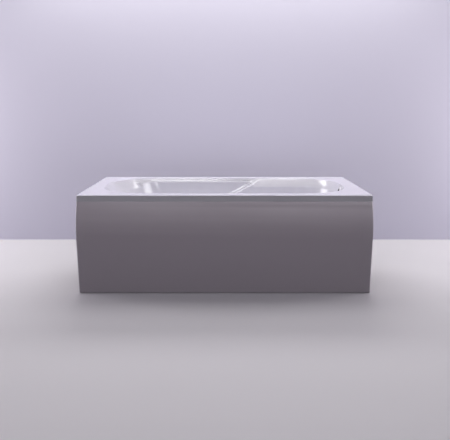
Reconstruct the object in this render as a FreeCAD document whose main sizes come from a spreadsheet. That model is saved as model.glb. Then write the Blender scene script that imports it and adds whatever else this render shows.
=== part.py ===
import FreeCAD, Part
import Sketcher
import math
import os
import re

document = FreeCAD.newDocument("alcove_bath")
vector = FreeCAD.Vector
nodes = []

# ------------------------------------------------------------------ driving sizes
# Millimetres. X runs along the bath from the sloping head end to the waste end,
# Y from the front panel to the wall, Z up from the floor.
SIZES = [
    ("tub_length", "1700", "outside of the rim, end to end"),
    ("tub_width", "750", "outside of the rim, front to back"),
    ("deck_height", "580", "floor to the top of the rim"),
    ("shell_wall", "6", "acrylic sheet with its glass fibre backing"),
    ("lip_depth", "36", "height of the turned down edge of the rim"),
    ("rim_corner", "8", "outer corners of the rim seen from above"),
    ("rim_edge", "4", "rounding along the top outer edge of the rim"),
    ("basin_floor", "155", "floor to the inside bottom of the basin"),
    ("deck_head", "134", "rim's head end to the basin walls carried up to the deck"),
    ("deck_foot", "99", "rim's waste end to the basin walls carried up to the deck"),
    ("deck_side", "117", "rim's long sides to the basin walls carried up to the deck"),
    ("slope_head", "246", "how far the head end wall comes in down to the basin bottom"),
    ("slope_foot", "93", "how far the waste end wall comes in down to the basin bottom"),
    ("slope_side", "58", "how far the side walls come in down to the basin bottom"),
    ("floor_flat", "30", "half of the straight stretch across the basin bottom's ends"),
    ("wall_flat", "18", "half of the straight stretch across the end walls at the deck"),
    ("cove", "60", "rounding between the basin walls and its bottom"),
    ("roll_depth", "45", "height of the rolled edge from deck into basin"),
    ("roll_side", "46", "width of the rolled edge along the sides"),
    ("roll_head", "44", "width of the rolled edge at the head end"),
    ("recess_depth", "17", "how far the basin is wider above the arm rests"),
    ("arm_rest_drop", "140", "deck to the arm rests"),
    ("arm_rest_length", "649", "head end of the walls to where the arm rest turns up"),
    ("sweep_run", "309", "length over which the arm rest rises to the deck"),
    ("rebate_drop", "11", "deck to the narrow ledge just below the rim"),
    ("rebate_inset", "116", "head end of the walls to the narrow ledge"),
    ("rebate_stop", "52", "narrow ledge's end to the top of the rising arm rest"),
    ("batten_width", "44", "timber under the rim"),
    ("batten_gap", "2", "timber to the inside of the lip"),
    ("board_thick", "15", "board bonded under the basin"),
    ("board_inset_head", "70", "basin bottom's head end to the board"),
    ("board_inset_foot", "188", "basin bottom's waste end to the board"),
    ("board_inset_side", "62", "basin bottom's side to the board"),
    ("frame_inset_head", "170", "basin bottom's head end to the leg frame there"),
    ("frame_inset_foot", "258", "basin bottom's waste end to the leg frame there"),
    ("frame_inset", "50", "rim's long sides to the ends of a leg frame"),
    ("frame_width", "40", "leg frame channel, outside width"),
    ("frame_drop", "25", "leg frame channel, outside height"),
    ("steel", "2", "thickness of the steel strip and channel"),
    ("foot_inset", "55", "end of a leg frame to its foot"),
    ("stem_radius", "6", "levelling stem"),
    ("stem_top", "182", "top of the levelling stem above the floor"),
    ("running_gap", "0.05", "radial clearance of parts that slide"),
    ("snug_gap", "0.02", "radial clearance of parts that stay put"),
    ("pad_radius", "25", "foot pad"),
    ("pad_height", "18", "foot pad"),
    ("pad_socket", "6", "floor to the bottom of the stem"),
    ("nut_flats", "19", "levelling nut, across its flats"),
    ("nut_height", "9", "levelling nut"),
    ("screw_radius", "2.4", "shank of the wood screws"),
    ("screw_head", "4.6", "head radius of the wood screws"),
    ("screw_cap", "3", "head height of the wood screws"),
    ("screw_grip", "13", "length of a wood screw in its timber"),
    ("screw_pitch", "105", "first to last screw of one half leg frame"),
    ("panel_side_gap", "1", "rim's end to the panel's end"),
    ("panel_skin", "4", "front panel thickness"),
    ("panel_gap", "0.2", "front panel to the lip above it"),
    ("panel_bottom", "4", "front panel above the floor"),
    ("panel_return", "34", "depth of the panel's turned back edges behind the rim edge"),
    ("panel_top_out", "3", "top of the panel in front of the rim edge"),
    ("panel_bow_out", "27.5", "panel in front of the rim edge where the bow begins"),
    ("panel_bow_height", "330", "floor to where the bow begins"),
    ("panel_toe_in", "12", "bottom of the panel behind the rim edge"),
    ("panel_corner", "9", "rounding of the panel's upright edges"),
    ("clip_width", "34", "panel clip"),
    ("clip_inset", "230", "rim's end to the first panel clip"),
    ("clip_gap", "0.6", "panel clip to the panel's turned back edge"),
    ("screw_inset", "9", "a bracket's edge to its screws"),
    ("toe_width", "30", "lower panel bracket"),
    ("toe_steel", "3", "thickness of the lower panel bracket"),
    ("toe_gap", "3", "lower panel bracket to the panel's turned back edge"),
    ("toe_clear", "2", "lower panel bracket's tip to the panel's face"),
    ("wall_bracket_inset", "330", "rim's end to a wall bracket of the long side"),
    ("wall_bracket_width", "60", "wall bracket"),
    ("wall_bracket_drop", "44", "height of the wall bracket's upright plate"),
    ("wall_hole", "2.6", "radius of the wall bracket's fixing holes"),
    ("wall_hole_pitch", "36", "wall bracket hole to hole"),
    ("waste_inset", "118", "basin bottom's waste end to the waste"),
    ("waste_hole", "26", "radius of the hole in the basin bottom"),
    ("waste_tube", "24", "outer radius of the waste's threaded tube"),
    ("waste_bore", "21", "inner radius of the waste's threaded tube"),
    ("waste_flange_radius", "35", "waste flange"),
    ("gasket", "2", "thickness of the waste gaskets"),
    ("waste_drop", "48", "basin bottom to the foot of the waste body's cup"),
    ("spigot_length", "30", "spigot below the waste body's cup"),
    ("tube_clear", "26", "foot of the cup to the threaded tube above it"),
    ("flange_rise", "2.5", "height of the waste flange"),
    ("branch_length", "52", "waste's middle to the end of its side branch"),
    ("socket_depth", "16", "overflow pipe's length inside its socket"),
    ("outlet_radius", "20", "waste body spigot and trap tubes, outside"),
    ("pipe_wall", "2.5", "wall of the plastic pipes"),
    ("plug_radius", "31", "click waste cap"),
    ("plug_stem_radius", "4", "click waste stem"),
    ("overflow_drop", "40", "deck to the overflow opening"),
    ("overflow_hole", "17", "radius of the hole in the basin wall"),
    ("rosette_radius", "31", "overflow trim ring"),
    ("rosette_opening", "13", "radius of the overflow opening"),
    ("overflow_pipe_out", "15", "basin walls at the deck to the overflow pipe"),
    ("overflow_pipe_z", "120", "floor to the lower run of the overflow pipe"),
    ("overflow_radius", "14", "overflow pipe, outside"),
    ("overflow_bend", "40", "bend radius of the overflow pipe"),
    ("pipe_nut_wall", "7", "how far a pipe nut stands out from its pipe"),
    ("pipe_nut_length", "9", "nut of the overflow pipe"),
    ("trap_nut_length", "18", "nut of the trap"),
    ("elbow_inside", "45", "depth of the overflow's cup from the wall's inner face"),
    ("elbow_wall", "3", "wall of the overflow's cup and of the waste's side branch"),
    ("elbow_drop", "35", "overflow opening down to the end of its elbow"),
    ("trap_run", "62", "trap inlet to trap riser"),
    ("trap_outlet", "93", "trap riser to the free end of the outlet"),
    ("collar_wall", "1.5", "how far the collar under the outlet's nut stands out"),
    ("collar_length", "32", "collar under the outlet's nut"),
    ("collar_clear", "2", "trap riser to that collar"),
    ("trap_low", "40", "floor to the middle of the trap's lower run"),
    ("trap_high", "74", "floor to the middle of the trap's outlet"),
]
DERIVED = [
    ("wall_head", "-(tub_length / 2 - deck_head)", "basin walls at the deck, head end"),
    ("wall_foot", "tub_length / 2 - deck_foot", "basin walls at the deck, waste end"),
    ("wall_half", "tub_width / 2 - deck_side", "basin walls at the deck, half width"),
    ("floor_head", "wall_head + slope_head", "basin bottom, head end"),
    ("floor_foot", "wall_foot - slope_foot", "basin bottom, waste end"),
    ("floor_half", "wall_half - slope_side", "basin bottom, half width"),
    ("wall_corner", "wall_half - wall_flat", "basin walls at the deck, corner radius"),
    ("floor_corner", "floor_half - floor_flat", "basin bottom, corner radius"),
    ("arm_rest_end", "wall_head + arm_rest_length", "where the arm rest turns up"),
    ("sweep_top", "arm_rest_end + sweep_run", "where the rising arm rest meets the deck"),
    ("rebate_head", "wall_head + rebate_inset", "narrow ledge, head end"),
    ("rebate_foot", "sweep_top - rebate_stop", "narrow ledge, waste end"),
    ("board_head", "floor_head + board_inset_head", "board, head end"),
    ("board_foot", "floor_foot - board_inset_foot", "board, waste end"),
    ("board_half", "floor_half - board_inset_side", "board, half width"),
    ("frame_head_x", "floor_head + frame_inset_head", "leg frame at the head end"),
    ("frame_foot_x", "floor_foot - frame_inset_foot", "leg frame at the waste end"),
    ("frame_length", "tub_width - 2 * frame_inset", "leg frame, front to back"),
    ("foot_spread", "frame_length / 2 - foot_inset", "middle of the bath to a foot"),
    ("panel_length", "tub_length - 2 * panel_side_gap", "front panel, end to end"),
    ("clip_pitch", "tub_length / 2 - clip_inset", "panel clip to panel clip"),
    ("wall_bracket_x", "tub_length / 2 - wall_bracket_inset", "middle to a wall bracket"),
    ("waste_x", "floor_foot - waste_inset", "middle of the bath to the waste"),
    ("overflow_pipe_x", "wall_foot + overflow_pipe_out", "middle to the overflow pipe"),
    ("panel_top", "deck_height - lip_depth - panel_gap", "top of the panel"),
    ("panel_lean", "atan((panel_toe_in + panel_bow_out) / (panel_bow_height - panel_bottom))",
     "slope of the panel's straight lower part"),
    ("panel_chord", "sqrt((panel_bow_out - panel_top_out) ^ 2 + (panel_top - panel_bow_height) ^ 2)",
     "straight distance across the bow"),
    ("panel_swing", "panel_lean + atan((panel_bow_out - panel_top_out) / (panel_top - panel_bow_height))",
     "half the angle that the bow turns through"),
    ("panel_radius", "panel_chord / 2 / sin(panel_swing)", "radius of the bow"),
    ("panel_reach", "panel_bow_out + panel_radius * (1 - cos(panel_lean))",
     "furthest point of the bow in front of the rim edge"),
    ("tub_middle", "panel_reach / 2", "front to back middle of the bath"),
    ("rim_front", "tub_middle - tub_width / 2", "front edge of the rim"),
    ("rim_back", "tub_middle + tub_width / 2", "back edge of the rim"),
    ("lip_bottom", "deck_height - lip_depth", "underside of the lip"),
    ("deck_under", "deck_height - shell_wall", "underside of the deck"),
    ("wall_rise", "deck_height - basin_floor", "height of the basin walls"),
    ("basin_under", "basin_floor - shell_wall", "underside of the basin"),
    ("board_under", "basin_under - board_thick", "underside of the board"),
    ("batten_out", "shell_wall + batten_gap", "outer face of the timber, from the rim edge"),
    ("batten_in", "batten_out + batten_width", "inner face of the timber, from the rim edge"),
    ("waste_top", "basin_floor + gasket", "underside of the waste flange"),
    ("waste_nut", "basin_under - gasket", "top of the waste body"),
    ("waste_foot", "basin_floor - waste_drop", "foot of the waste body's cup"),
    ("foot_lean", "(wall_foot - floor_foot) / wall_rise", "slope of the waste end wall"),
    ("overflow_z", "deck_height - overflow_drop", "middle of the overflow opening"),
    ("overflow_x", "wall_foot - overflow_drop * foot_lean", "overflow opening on the wall"),
]
NAMES = [row[0] for row in SIZES + DERIVED]


def formula(text):
    """Point the size names of an expression at the sheet."""
    def sheet_name(found):
        word = found.group(0)
        return "Sizes." + word if word in NAMES else word
    return re.sub(r"[a-z][a-z_]*", sheet_name, str(text))


sheet = document.addObject("Spreadsheet::Sheet", "Sizes")
for row, (name, value, note) in enumerate(SIZES, 1):
    sheet.set(f"A{row}", note)
    sheet.set(f"B{row}", value)
    sheet.setAlias(f"B{row}", name)
for row, (name, value, note) in enumerate(DERIVED, len(SIZES) + 1):
    sheet.set(f"A{row}", note)
    sheet.set(f"B{row}", "=" + value)
    sheet.setAlias(f"B{row}", name)
document.recompute()


def size(text):
    """The value that an expression has now."""
    result = sheet.evalExpression(re.sub(r"Sizes\.", "", formula(text)))
    return float(getattr(result, "Value", result))


# ------------------------------------------------------------------ small helpers
def bind(thing, **rules):
    """Tie properties of a document object to sheet expressions."""
    for name, text in rules.items():
        thing.setExpression(name.replace("__", "."), formula(text))
    return thing


def place(thing, x=0, y=0, z=0):
    """Tie the position of a document object to sheet expressions."""
    for axis, text in zip("xyz", (x, y, z)):
        thing.setExpression("Placement.Base." + axis, formula(text))
    return thing


def turn(thing, axis, angle):
    """Turn a document object about a fixed axis by a bound angle."""
    thing.Placement = FreeCAD.Placement(vector(), FreeCAD.Rotation(axis, 90))
    thing.setExpression("Placement.Rotation.Angle", formula(angle))
    return thing


def box(name, low, high):
    """A block between two corners."""
    block = document.addObject("Part::Box", name)
    sides = [f"({b}) - ({a})" for a, b in zip(low, high)]
    bind(block, Length=sides[0], Width=sides[1], Height=sides[2])
    return place(block, *low)


def rod(name, radius, length, x=0, y=0, z=0, axis=None, angle=90):
    """A cylinder standing on a point, or turned about an axis."""
    bar = document.addObject("Part::Cylinder", name)
    bind(bar, Radius=radius, Height=length)
    if axis:
        turn(bar, axis, angle)
    return place(bar, x, y, z)


def ball(name, radius, x, y, z):
    """A full sphere."""
    globe = document.addObject("Part::Sphere", name)
    bind(globe, Radius=radius)
    return place(globe, x, y, z)


def join(name, parts):
    """One solid from several that meet."""
    whole = document.addObject("Part::MultiFuse", name)
    whole.Shapes = parts
    return whole


def group(name, parts):
    """Separate solids that share one node."""
    bundle = document.addObject("Part::Compound", name)
    bundle.Links = parts
    return bundle


def minus(name, base, tool):
    """The base with the tool taken away."""
    rest = document.addObject("Part::Cut", name)
    rest.Base = base
    rest.Tool = tool
    return rest


def overlap(name, first, second):
    """What two solids share."""
    shared = document.addObject("Part::Common", name)
    shared.Base = first
    shared.Tool = second
    return shared


def node(label, thing):
    """Keep an object as a sub-part of its own."""
    thing.Label = label
    nodes.append(thing)
    return thing


def plane_of(body, role):
    """One of a body's own origin planes."""
    found = [item for item in body.Origin.OriginFeatures if item.Role == role]
    return found[0]


def polygon(body, name, role, corners):
    """A closed outline of straight sides, every corner tied to the sheet."""
    sketch = body.newObject("Sketcher::SketchObject", name)
    sketch.AttachmentSupport = [(plane_of(body, role), "")]
    sketch.MapMode = "FlatFace"
    points = [vector(size(x), size(y), 0) for x, y in corners]
    count = len(points)
    sides = [Part.LineSegment(points[i], points[(i + 1) % count]) for i in range(count)]
    sketch.addGeometry(sides, False)
    for i in range(count):
        sketch.addConstraint(Sketcher.Constraint("Coincident", i, 2, (i + 1) % count, 1))
    for i, corner in enumerate(corners):
        for kind, text in zip(("DistanceX", "DistanceY"), corner):
            rule = Sketcher.Constraint(kind, -1, 1, i, 1, size(text))
            number = sketch.addConstraint(rule)
            sketch.setExpression(f"Constraints[{number}]", formula(text))
    return sketch


def turned(name, corners):
    """A body turned about the Z axis from an outline of radius and height."""
    body = document.addObject("PartDesign::Body", name)
    sketch = polygon(body, name + "_outline", "XZ_Plane", corners)
    spin = body.newObject("PartDesign::Revolution", name + "_turned")
    spin.Profile = sketch
    spin.ReferenceAxis = (sketch, ["V_Axis"])
    spin.Angle = 360
    return body


def folded(name, role, corners, width):
    """A body of strip: an outline made as wide as the strip, half to each side."""
    body = document.addObject("PartDesign::Body", name)
    sketch = polygon(body, name + "_outline", role, corners)
    pad = body.newObject("PartDesign::Pad", name + "_pad")
    pad.Profile = sketch
    pad.SideType = "Symmetric"
    bind(pad, Length=width)
    return body


# ------------------------------------------------------------------ basin outlines
def outline(name, height, head, foot, half, corner):
    """Rounded rectangle in a level plane, symmetrical about the bath's middle."""
    sketch = document.addObject("Sketcher::SketchObject", name)
    back, front, wide, bend = (size(text) for text in (head, foot, half, corner))

    def arc(x, y, start):
        circle = Part.Circle(vector(x, y, 0), vector(0, 0, 1), bend)
        return Part.ArcOfCircle(circle, math.radians(start), math.radians(start + 90))

    low = vector(back + bend, -wide, 0)
    sketch.addGeometry([
        Part.LineSegment(low, vector(front - bend, -wide, 0)),
        arc(front - bend, -wide + bend, -90),
        Part.LineSegment(vector(front, -wide + bend, 0), vector(front, wide - bend, 0)),
        arc(front - bend, wide - bend, 0),
        Part.LineSegment(vector(front - bend, wide, 0), vector(back + bend, wide, 0)),
        arc(back + bend, wide - bend, 90),
        Part.LineSegment(vector(back, wide - bend, 0), vector(back, -wide + bend, 0)),
        arc(back + bend, -wide + bend, 180),
    ], False)
    rule = Sketcher.Constraint
    sketch.addConstraint([rule("Tangent", i, 2, (i + 1) % 8, 1) for i in range(8)])
    sketch.addConstraint([rule("Horizontal", 0), rule("Vertical", 2)])
    sketch.addConstraint([rule("Horizontal", 4), rule("Vertical", 6)])
    sketch.addConstraint([rule("Equal", 1, 3), rule("Equal", 1, 5), rule("Equal", 1, 7)])
    driven = [
        (rule("DistanceY", 0, 1, -1, 1, wide), half),
        (rule("DistanceY", -1, 1, 4, 1, wide), half),
        (rule("DistanceX", -1, 1, 2, 1, front), foot),
        (rule("DistanceX", 6, 1, -1, 1, -back), f"-({head})"),
        (rule("Radius", 1, bend), corner),
    ]
    for constraint, text in driven:
        number = sketch.addConstraint(constraint)
        sketch.setExpression(f"Constraints[{number}]", formula(text))
    return place(sketch, 0, "tub_middle", height)


def loft(name, sections, ruled):
    """A solid through level outlines."""
    solid = document.addObject("Part::Loft", name)
    solid.Sections = sections
    solid.Solid = True
    solid.Ruled = ruled
    return solid


def rounded(name, base, radius, height):
    """Round every edge of a solid that lies at one height."""
    document.recompute()
    level = size(height)
    numbers = []
    for number, edge in enumerate(base.Shape.Edges, 1):
        reach = edge.BoundBox
        if abs(reach.ZMin - level) < 0.01 and abs(reach.ZMax - level) < 0.01:
            numbers.append(number)
    fillet = document.addObject("Part::Fillet", name)
    fillet.Base = base
    fillet.Edges = [(number, size(radius), size(radius)) for number in numbers]
    return fillet


def wall_at(drop, low, high):
    """A basin wall measure at some depth under the deck."""
    return f"{high} + ({low} - {high}) * ({drop}) / wall_rise"


def basin(name, grow):
    """The main hollow, or its outside when grown by the shell's thickness."""
    top = outline(name + "_top", "deck_height", f"wall_head - {grow}",
                  f"wall_foot + {grow}", f"wall_half + {grow}", f"wall_corner + {grow}")
    drop = f"wall_rise + {grow}"
    low = outline(name + "_low", f"deck_height - ({drop})",
                  f"{wall_at(drop, 'floor_head', 'wall_head')} - {grow}",
                  f"{wall_at(drop, 'floor_foot', 'wall_foot')} + {grow}",
                  f"{wall_at(drop, 'floor_half', 'wall_half')} + {grow}",
                  f"{wall_at(drop, 'floor_corner', 'wall_corner')} + {grow}")
    hull = loft(name + "_hull", [low, top], True)
    return rounded(name, hull, f"cove + {grow}", f"deck_height - ({drop})")


def mouth(name, grow):
    """The rolled edge: the basin's own walls, opening out towards the deck."""
    sections = []
    steps = 5
    for step in range(steps + 1):
        angle = 90 * step / steps
        drop = f"roll_depth * (1 - cos({angle} deg)) + {grow}"
        flare = f"(1 - sin({angle} deg))"
        sections.append(outline(
            f"{name}_{step}",
            f"deck_height - ({drop})",
            f"{wall_at(drop, 'floor_head', 'wall_head')} - roll_head * {flare} - {grow}",
            f"{wall_at(drop, 'floor_foot', 'wall_foot')} + {grow}",
            f"{wall_at(drop, 'floor_half', 'wall_half')} + roll_side * {flare} + {grow}",
            f"{wall_at(drop, 'floor_corner', 'wall_corner')} + roll_side / 2 * {flare} + {grow}",
        ))
    return loft(name, sections, True)


def side_recess(name, grow):
    """The wider part of the basin above the arm rests, which rise to the rim."""
    wide = f"recess_depth + {grow}"
    top = outline(name + "_top", "deck_height", f"wall_head - recess_depth / 4 - {grow}",
                  f"wall_foot + {grow}", f"wall_half + {wide}",
                  f"wall_corner + recess_depth / 1.5 + {grow}")
    drop = f"arm_rest_drop + {grow}"
    low = outline(name + "_low", f"deck_height - ({drop})",
                  f"{wall_at(drop, 'floor_head', 'wall_head')} - {grow}",
                  f"{wall_at(drop, 'floor_foot', 'wall_foot')} + {grow}",
                  f"{wall_at(drop, 'floor_half', 'wall_half')} + {wide}",
                  f"wall_corner + {grow}")
    hull = loft(name + "_hull", [low, top], True)
    body = folded(name + "_profile", "XZ_Plane", [
        ("-tub_length / 2", f"deck_height - arm_rest_drop - {grow}"),
        (f"arm_rest_end + {grow} / 2", f"deck_height - arm_rest_drop - {grow}"),
        (f"sweep_top + {grow} * 2", "deck_height"),
        ("-tub_length / 2", "deck_height"),
    ], "tub_width")
    place(body, 0, "tub_middle", 0)
    return overlap(name, hull, body)


def rebate(name, grow):
    """The narrow ledge just below the rim along the arm rests."""
    edge_half = "wall_half + roll_side"
    whole = outline(name + "_plan", f"deck_height - rebate_drop - {grow}",
                    f"wall_head - roll_head - {grow}", f"wall_foot + {grow}",
                    f"{edge_half} + {grow}", f"wall_corner + roll_side / 2 + {grow}")
    slab = document.addObject("Part::Extrusion", name + "_slab")
    slab.Base = whole
    slab.DirMode = "Custom"
    slab.Dir = vector(0, 0, 1)
    slab.Solid = True
    bind(slab, LengthFwd=f"rebate_drop + {grow}")
    part = box(name + "_part",
               (f"rebate_head - {grow}", "rim_front", f"deck_height - rebate_drop - {grow}"),
               (f"rebate_foot + {grow}", "rim_back", "deck_height"))
    return overlap(name, slab, part)


def hollow(name, grow):
    """Everything the basin takes out of the block, or that block itself."""
    return join(name, [
        basin(name + "_basin", grow),
        mouth(name + "_mouth", grow),
        side_recess(name + "_recess", grow),
        rebate(name + "_rebate", grow),
    ])


def rim_block(name, height, rise, inset):
    """The rim's outline made solid, or the space under the deck."""
    plan = outline(name + "_plan", height, f"-tub_length / 2 + {inset}",
                   f"tub_length / 2 - {inset}", f"tub_width / 2 - {inset}",
                   f"rim_corner - {inset}")
    block = document.addObject("Part::Extrusion", name)
    block.Base = plan
    block.DirMode = "Custom"
    block.Dir = vector(0, 0, 1)
    block.Solid = True
    bind(block, LengthFwd=rise)
    return block


# ------------------------------------------------------------------ moulded shell
lip = rounded("lip", rim_block("lip_block", "lip_bottom", "lip_depth", "0"),
              "rim_edge", "deck_height")
under_deck = rim_block("under_deck", "lip_bottom - 1", "lip_depth - shell_wall + 1",
                       "shell_wall")
rim = minus("rim", lip, under_deck)
moulded = join("moulded", [rim, hollow("outside", "shell_wall")])
drained = join("drained", [
    hollow("inside", "0"),
    rod("waste_cutter", "waste_hole", "shell_wall * 6",
        "waste_x", "tub_middle", "basin_floor - shell_wall * 3"),
    rod("overflow_cutter", "overflow_hole", "shell_wall * 8",
        "overflow_x - shell_wall * 4", "tub_middle", "overflow_z + shell_wall * 4 * foot_lean",
        vector(0, 1, 0), "90 deg + atan(foot_lean)"),
])
node("tub_shell", minus("tub_shell", moulded, drained))


# ------------------------------------------------------------------ screws
def screw_set(label, places):
    """Wood screws driven upwards, heads below: one node of separate solids."""
    screws = []
    for number, (x, y, seat) in enumerate(places, 1):
        name = f"{label}_{number}"
        shank = rod(name + "_shank", "screw_radius", "steel + screw_grip", x, y, seat)
        head = rod(name + "_head", "screw_head", "screw_cap", x, y, f"{seat} - screw_cap")
        screws.append(join(name, [shank, head]))
    return node(label, group(label, screws))


def screw_holes(name, places):
    """What those screws take out of the timber and the steel."""
    holes = [rod(f"{name}_{number}", "screw_radius + snug_gap", "steel + screw_grip + 1",
                 x, y, f"{seat} - 1") for number, (x, y, seat) in enumerate(places, 1)]
    return group(name, holes)


frame_screws = [(x, f"tub_middle + {y}", "board_under - steel")
                for x in ("frame_head_x", "frame_foot_x")
                for y in ("-screw_pitch", "-screw_pitch / 3", "screw_pitch / 3", "screw_pitch")]
clip_y = "rim_front + batten_in - screw_inset"
clip_places = ["-clip_pitch", "0", "clip_pitch"]
clip_screws = [(x, clip_y, "lip_bottom - steel") for x in clip_places]
bracket_in = "batten_out + batten_width / 2"
half_pitch = "wall_hole_pitch / 2"
back_screws = [(f"{x} {side} {half_pitch}", f"rim_back - ({bracket_in})", "lip_bottom - steel")
               for x in ("-wall_bracket_x", "wall_bracket_x") for side in "-+"]
head_screws = [(f"-tub_length / 2 + {bracket_in}", f"tub_middle {side} {half_pitch}",
                "lip_bottom - steel") for side in "-+"]
foot_screws = [(f"tub_length / 2 - ({bracket_in})", f"tub_middle {side} {half_pitch}",
                "lip_bottom - steel") for side in "-+"]
screw_set("leg_frame_screws", frame_screws)
screw_set("panel_clip_screws", clip_screws)
screw_set("wall_bracket_screws", back_screws + head_screws + foot_screws)

# ------------------------------------------------------------------ board and timber
board = box("board", ("board_head", "tub_middle - board_half", "board_under"),
            ("board_foot", "tub_middle + board_half", "basin_under"))
node("base_board", minus("base_board", board, screw_holes("board_holes", frame_screws)))

LONG_END = "tub_length / 2 - batten_in - batten_gap"
BATTENS = {
    "front": ((f"-({LONG_END})", "rim_front + batten_out"),
              (LONG_END, "rim_front + batten_in"), clip_screws),
    "back": ((f"-({LONG_END})", "rim_back - batten_in"),
             (LONG_END, "rim_back - batten_out"), back_screws),
    "head": (("-tub_length / 2 + batten_out", "rim_front + rim_corner"),
             ("-tub_length / 2 + batten_in", "rim_back - rim_corner"), head_screws),
    "foot": (("tub_length / 2 - batten_in", "rim_front + rim_corner"),
             ("tub_length / 2 - batten_out", "rim_back - rim_corner"), foot_screws),
}
for side, (low, high, screws) in BATTENS.items():
    timber = box(f"timber_{side}", low + ("lip_bottom",), high + ("deck_under",))
    drilled = minus(f"rim_batten_{side}", timber, screw_holes(f"timber_holes_{side}", screws))
    node(f"rim_batten_{side}", drilled)


# ------------------------------------------------------------------ leg frames and feet
def leg_frame(label, x, screws):
    """A steel channel across the underside, open downwards."""
    half = "frame_width / 2"
    channel = folded(label + "_channel", "XZ_Plane", [
        (f"-{half}", "board_under"),
        (half, "board_under"),
        (half, "board_under - frame_drop"),
        (f"{half} - steel", "board_under - frame_drop"),
        (f"{half} - steel", "board_under - steel"),
        (f"-{half} + steel", "board_under - steel"),
        (f"-{half} + steel", "board_under - frame_drop"),
        (f"-{half}", "board_under - frame_drop"),
    ], "frame_length")
    place(channel, x, "tub_middle", 0)
    bores = [rod(f"{label}_bore_{side}", "stem_radius + running_gap", "frame_drop", x,
                 f"tub_middle {sign} foot_spread", "board_under - frame_drop / 2")
             for side, sign in (("front", "-"), ("back", "+"))]
    bolt = rod(label + "_bolt_hole", "screw_radius + snug_gap", "frame_drop", x,
               "tub_middle - frame_length / 2 + toe_width / 2", "board_under - frame_drop / 2")
    cutters = group(label + "_cutters", bores + [bolt, screw_holes(label + "_holes", screws)])
    return node(label, minus(label, channel, cutters))


leg_frame("leg_frame_head", "frame_head_x", frame_screws[:4])
leg_frame("leg_frame_foot", "frame_foot_x", frame_screws[4:])

FEET = [(f"{end}_{side}", f"frame_{end}_x", f"tub_middle {sign} foot_spread")
        for end in ("head", "foot") for side, sign in (("front", "-"), ("back", "+"))]


def nuts(label, seat):
    """The four levelling nuts on one side of the leg frames."""
    four = []
    for place_name, x, y in FEET:
        name = f"{label}_{place_name}"
        blank = document.addObject("Part::Prism", name + "_blank")
        blank.Polygon = 6
        bind(blank, Circumradius="nut_flats / 2 / cos(30 deg)", Height="nut_height")
        place(blank, x, y, seat)
        bore = rod(name + "_bore", "stem_radius + running_gap", "nut_height + 2",
                   x, y, f"{seat} - 1")
        four.append(minus(name, blank, bore))
    return node(label, group(label, four))


nuts("foot_nuts_upper", "board_under")
nuts("foot_nuts_lower", "board_under - steel - nut_height")

for place_name, x, y in FEET:
    stem = rod("stem_" + place_name, "stem_radius", "stem_top - pad_socket", x, y, "pad_socket")
    node("foot_stem_" + place_name, stem)
    pad = turned("pad_" + place_name, [
        ("0", "0"),
        ("pad_radius", "0"),
        ("pad_radius", "pad_height / 4"),
        ("stem_radius * 1.7", "pad_height"),
        ("stem_radius + snug_gap", "pad_height"),
        ("stem_radius + snug_gap", "pad_socket"),
        ("0", "pad_socket"),
    ])
    node("foot_pad_" + place_name, place(pad, x, y, 0))


# ------------------------------------------------------------------ front panel
def panel_outline(body, name):
    """The panel from its end: a straight lower part, a bow above, flat behind."""
    sketch = body.newObject("Sketcher::SketchObject", name)
    sketch.AttachmentSupport = [(plane_of(body, "YZ_Plane"), "")]
    sketch.MapMode = "FlatFace"
    corners = [
        ("rim_front + panel_toe_in", "panel_bottom"),
        ("rim_front - panel_bow_out", "panel_bow_height"),
        ("rim_front - panel_top_out", "panel_top"),
        ("rim_front + panel_return", "panel_top"),
        ("rim_front + panel_return", "panel_bottom"),
    ]
    toe, bow, top, back_top, back_low = [vector(size(y), size(z), 0) for y, z in corners]
    lean = math.radians(size("panel_lean"))
    radius = size("panel_radius")
    middle = bow + vector(math.cos(lean), math.sin(lean), 0) * radius
    crest = middle - vector(radius, 0, 0)
    sketch.addGeometry([
        Part.LineSegment(toe, bow),
        Part.Arc(bow, crest, top),
        Part.LineSegment(top, back_top),
        Part.LineSegment(back_top, back_low),
        Part.LineSegment(back_low, toe),
    ], False)
    rule = Sketcher.Constraint
    bow_end = 1 if (sketch.getPoint(1, 1) - bow).Length < 0.01 else 2
    sketch.addConstraint(rule("Tangent", 0, 2, 1, bow_end))
    sketch.addConstraint(rule("Coincident", 1, 3 - bow_end, 2, 1))
    sketch.addConstraint([rule("Coincident", i, 2, i + 1, 1) for i in (2, 3)])
    sketch.addConstraint(rule("Coincident", 4, 2, 0, 1))
    ends = [(0, 1), (0, 2), (2, 1), (2, 2), (3, 2)]
    for (line, end), corner in zip(ends, corners):
        for kind, text in zip(("DistanceX", "DistanceY"), corner):
            number = sketch.addConstraint(rule(kind, -1, 1, line, end, size(text)))
            sketch.setExpression(f"Constraints[{number}]", formula(text))
    return sketch


panel_body = document.addObject("PartDesign::Body", "panel_body")
panel_pad = panel_body.newObject("PartDesign::Pad", "panel_pad")
panel_pad.Profile = panel_outline(panel_body, "panel_outline")
panel_pad.SideType = "Symmetric"
bind(panel_pad, Length="panel_length")
document.recompute()


def panel_edges(shape):
    """The upright edges at both ends of the panel's face."""
    half = size("panel_length / 2")
    back = size("rim_front + panel_return")
    found = []
    for number, edge in enumerate(shape.Edges, 1):
        reach = edge.BoundBox
        at_end = abs(abs(reach.Center.x) - half) < 0.1 and reach.XLength < 0.1
        if at_end and reach.ZLength > 20 and reach.YMin < back - 1:
            found.append(f"Edge{number}")
    return found


soft = panel_body.newObject("PartDesign::Fillet", "panel_soft")
soft.Base = (panel_pad, panel_edges(panel_pad.Shape))
bind(soft, Radius="panel_corner")
document.recompute()
back_face = [f"Face{number}" for number, face in enumerate(soft.Shape.Faces, 1)
             if face.BoundBox.YLength < 0.01]
tray = panel_body.newObject("PartDesign::Thickness", "panel_tray")
tray.Base = (soft, back_face)
tray.Reversed = True
bind(tray, Value="panel_skin")
document.recompute()

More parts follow.
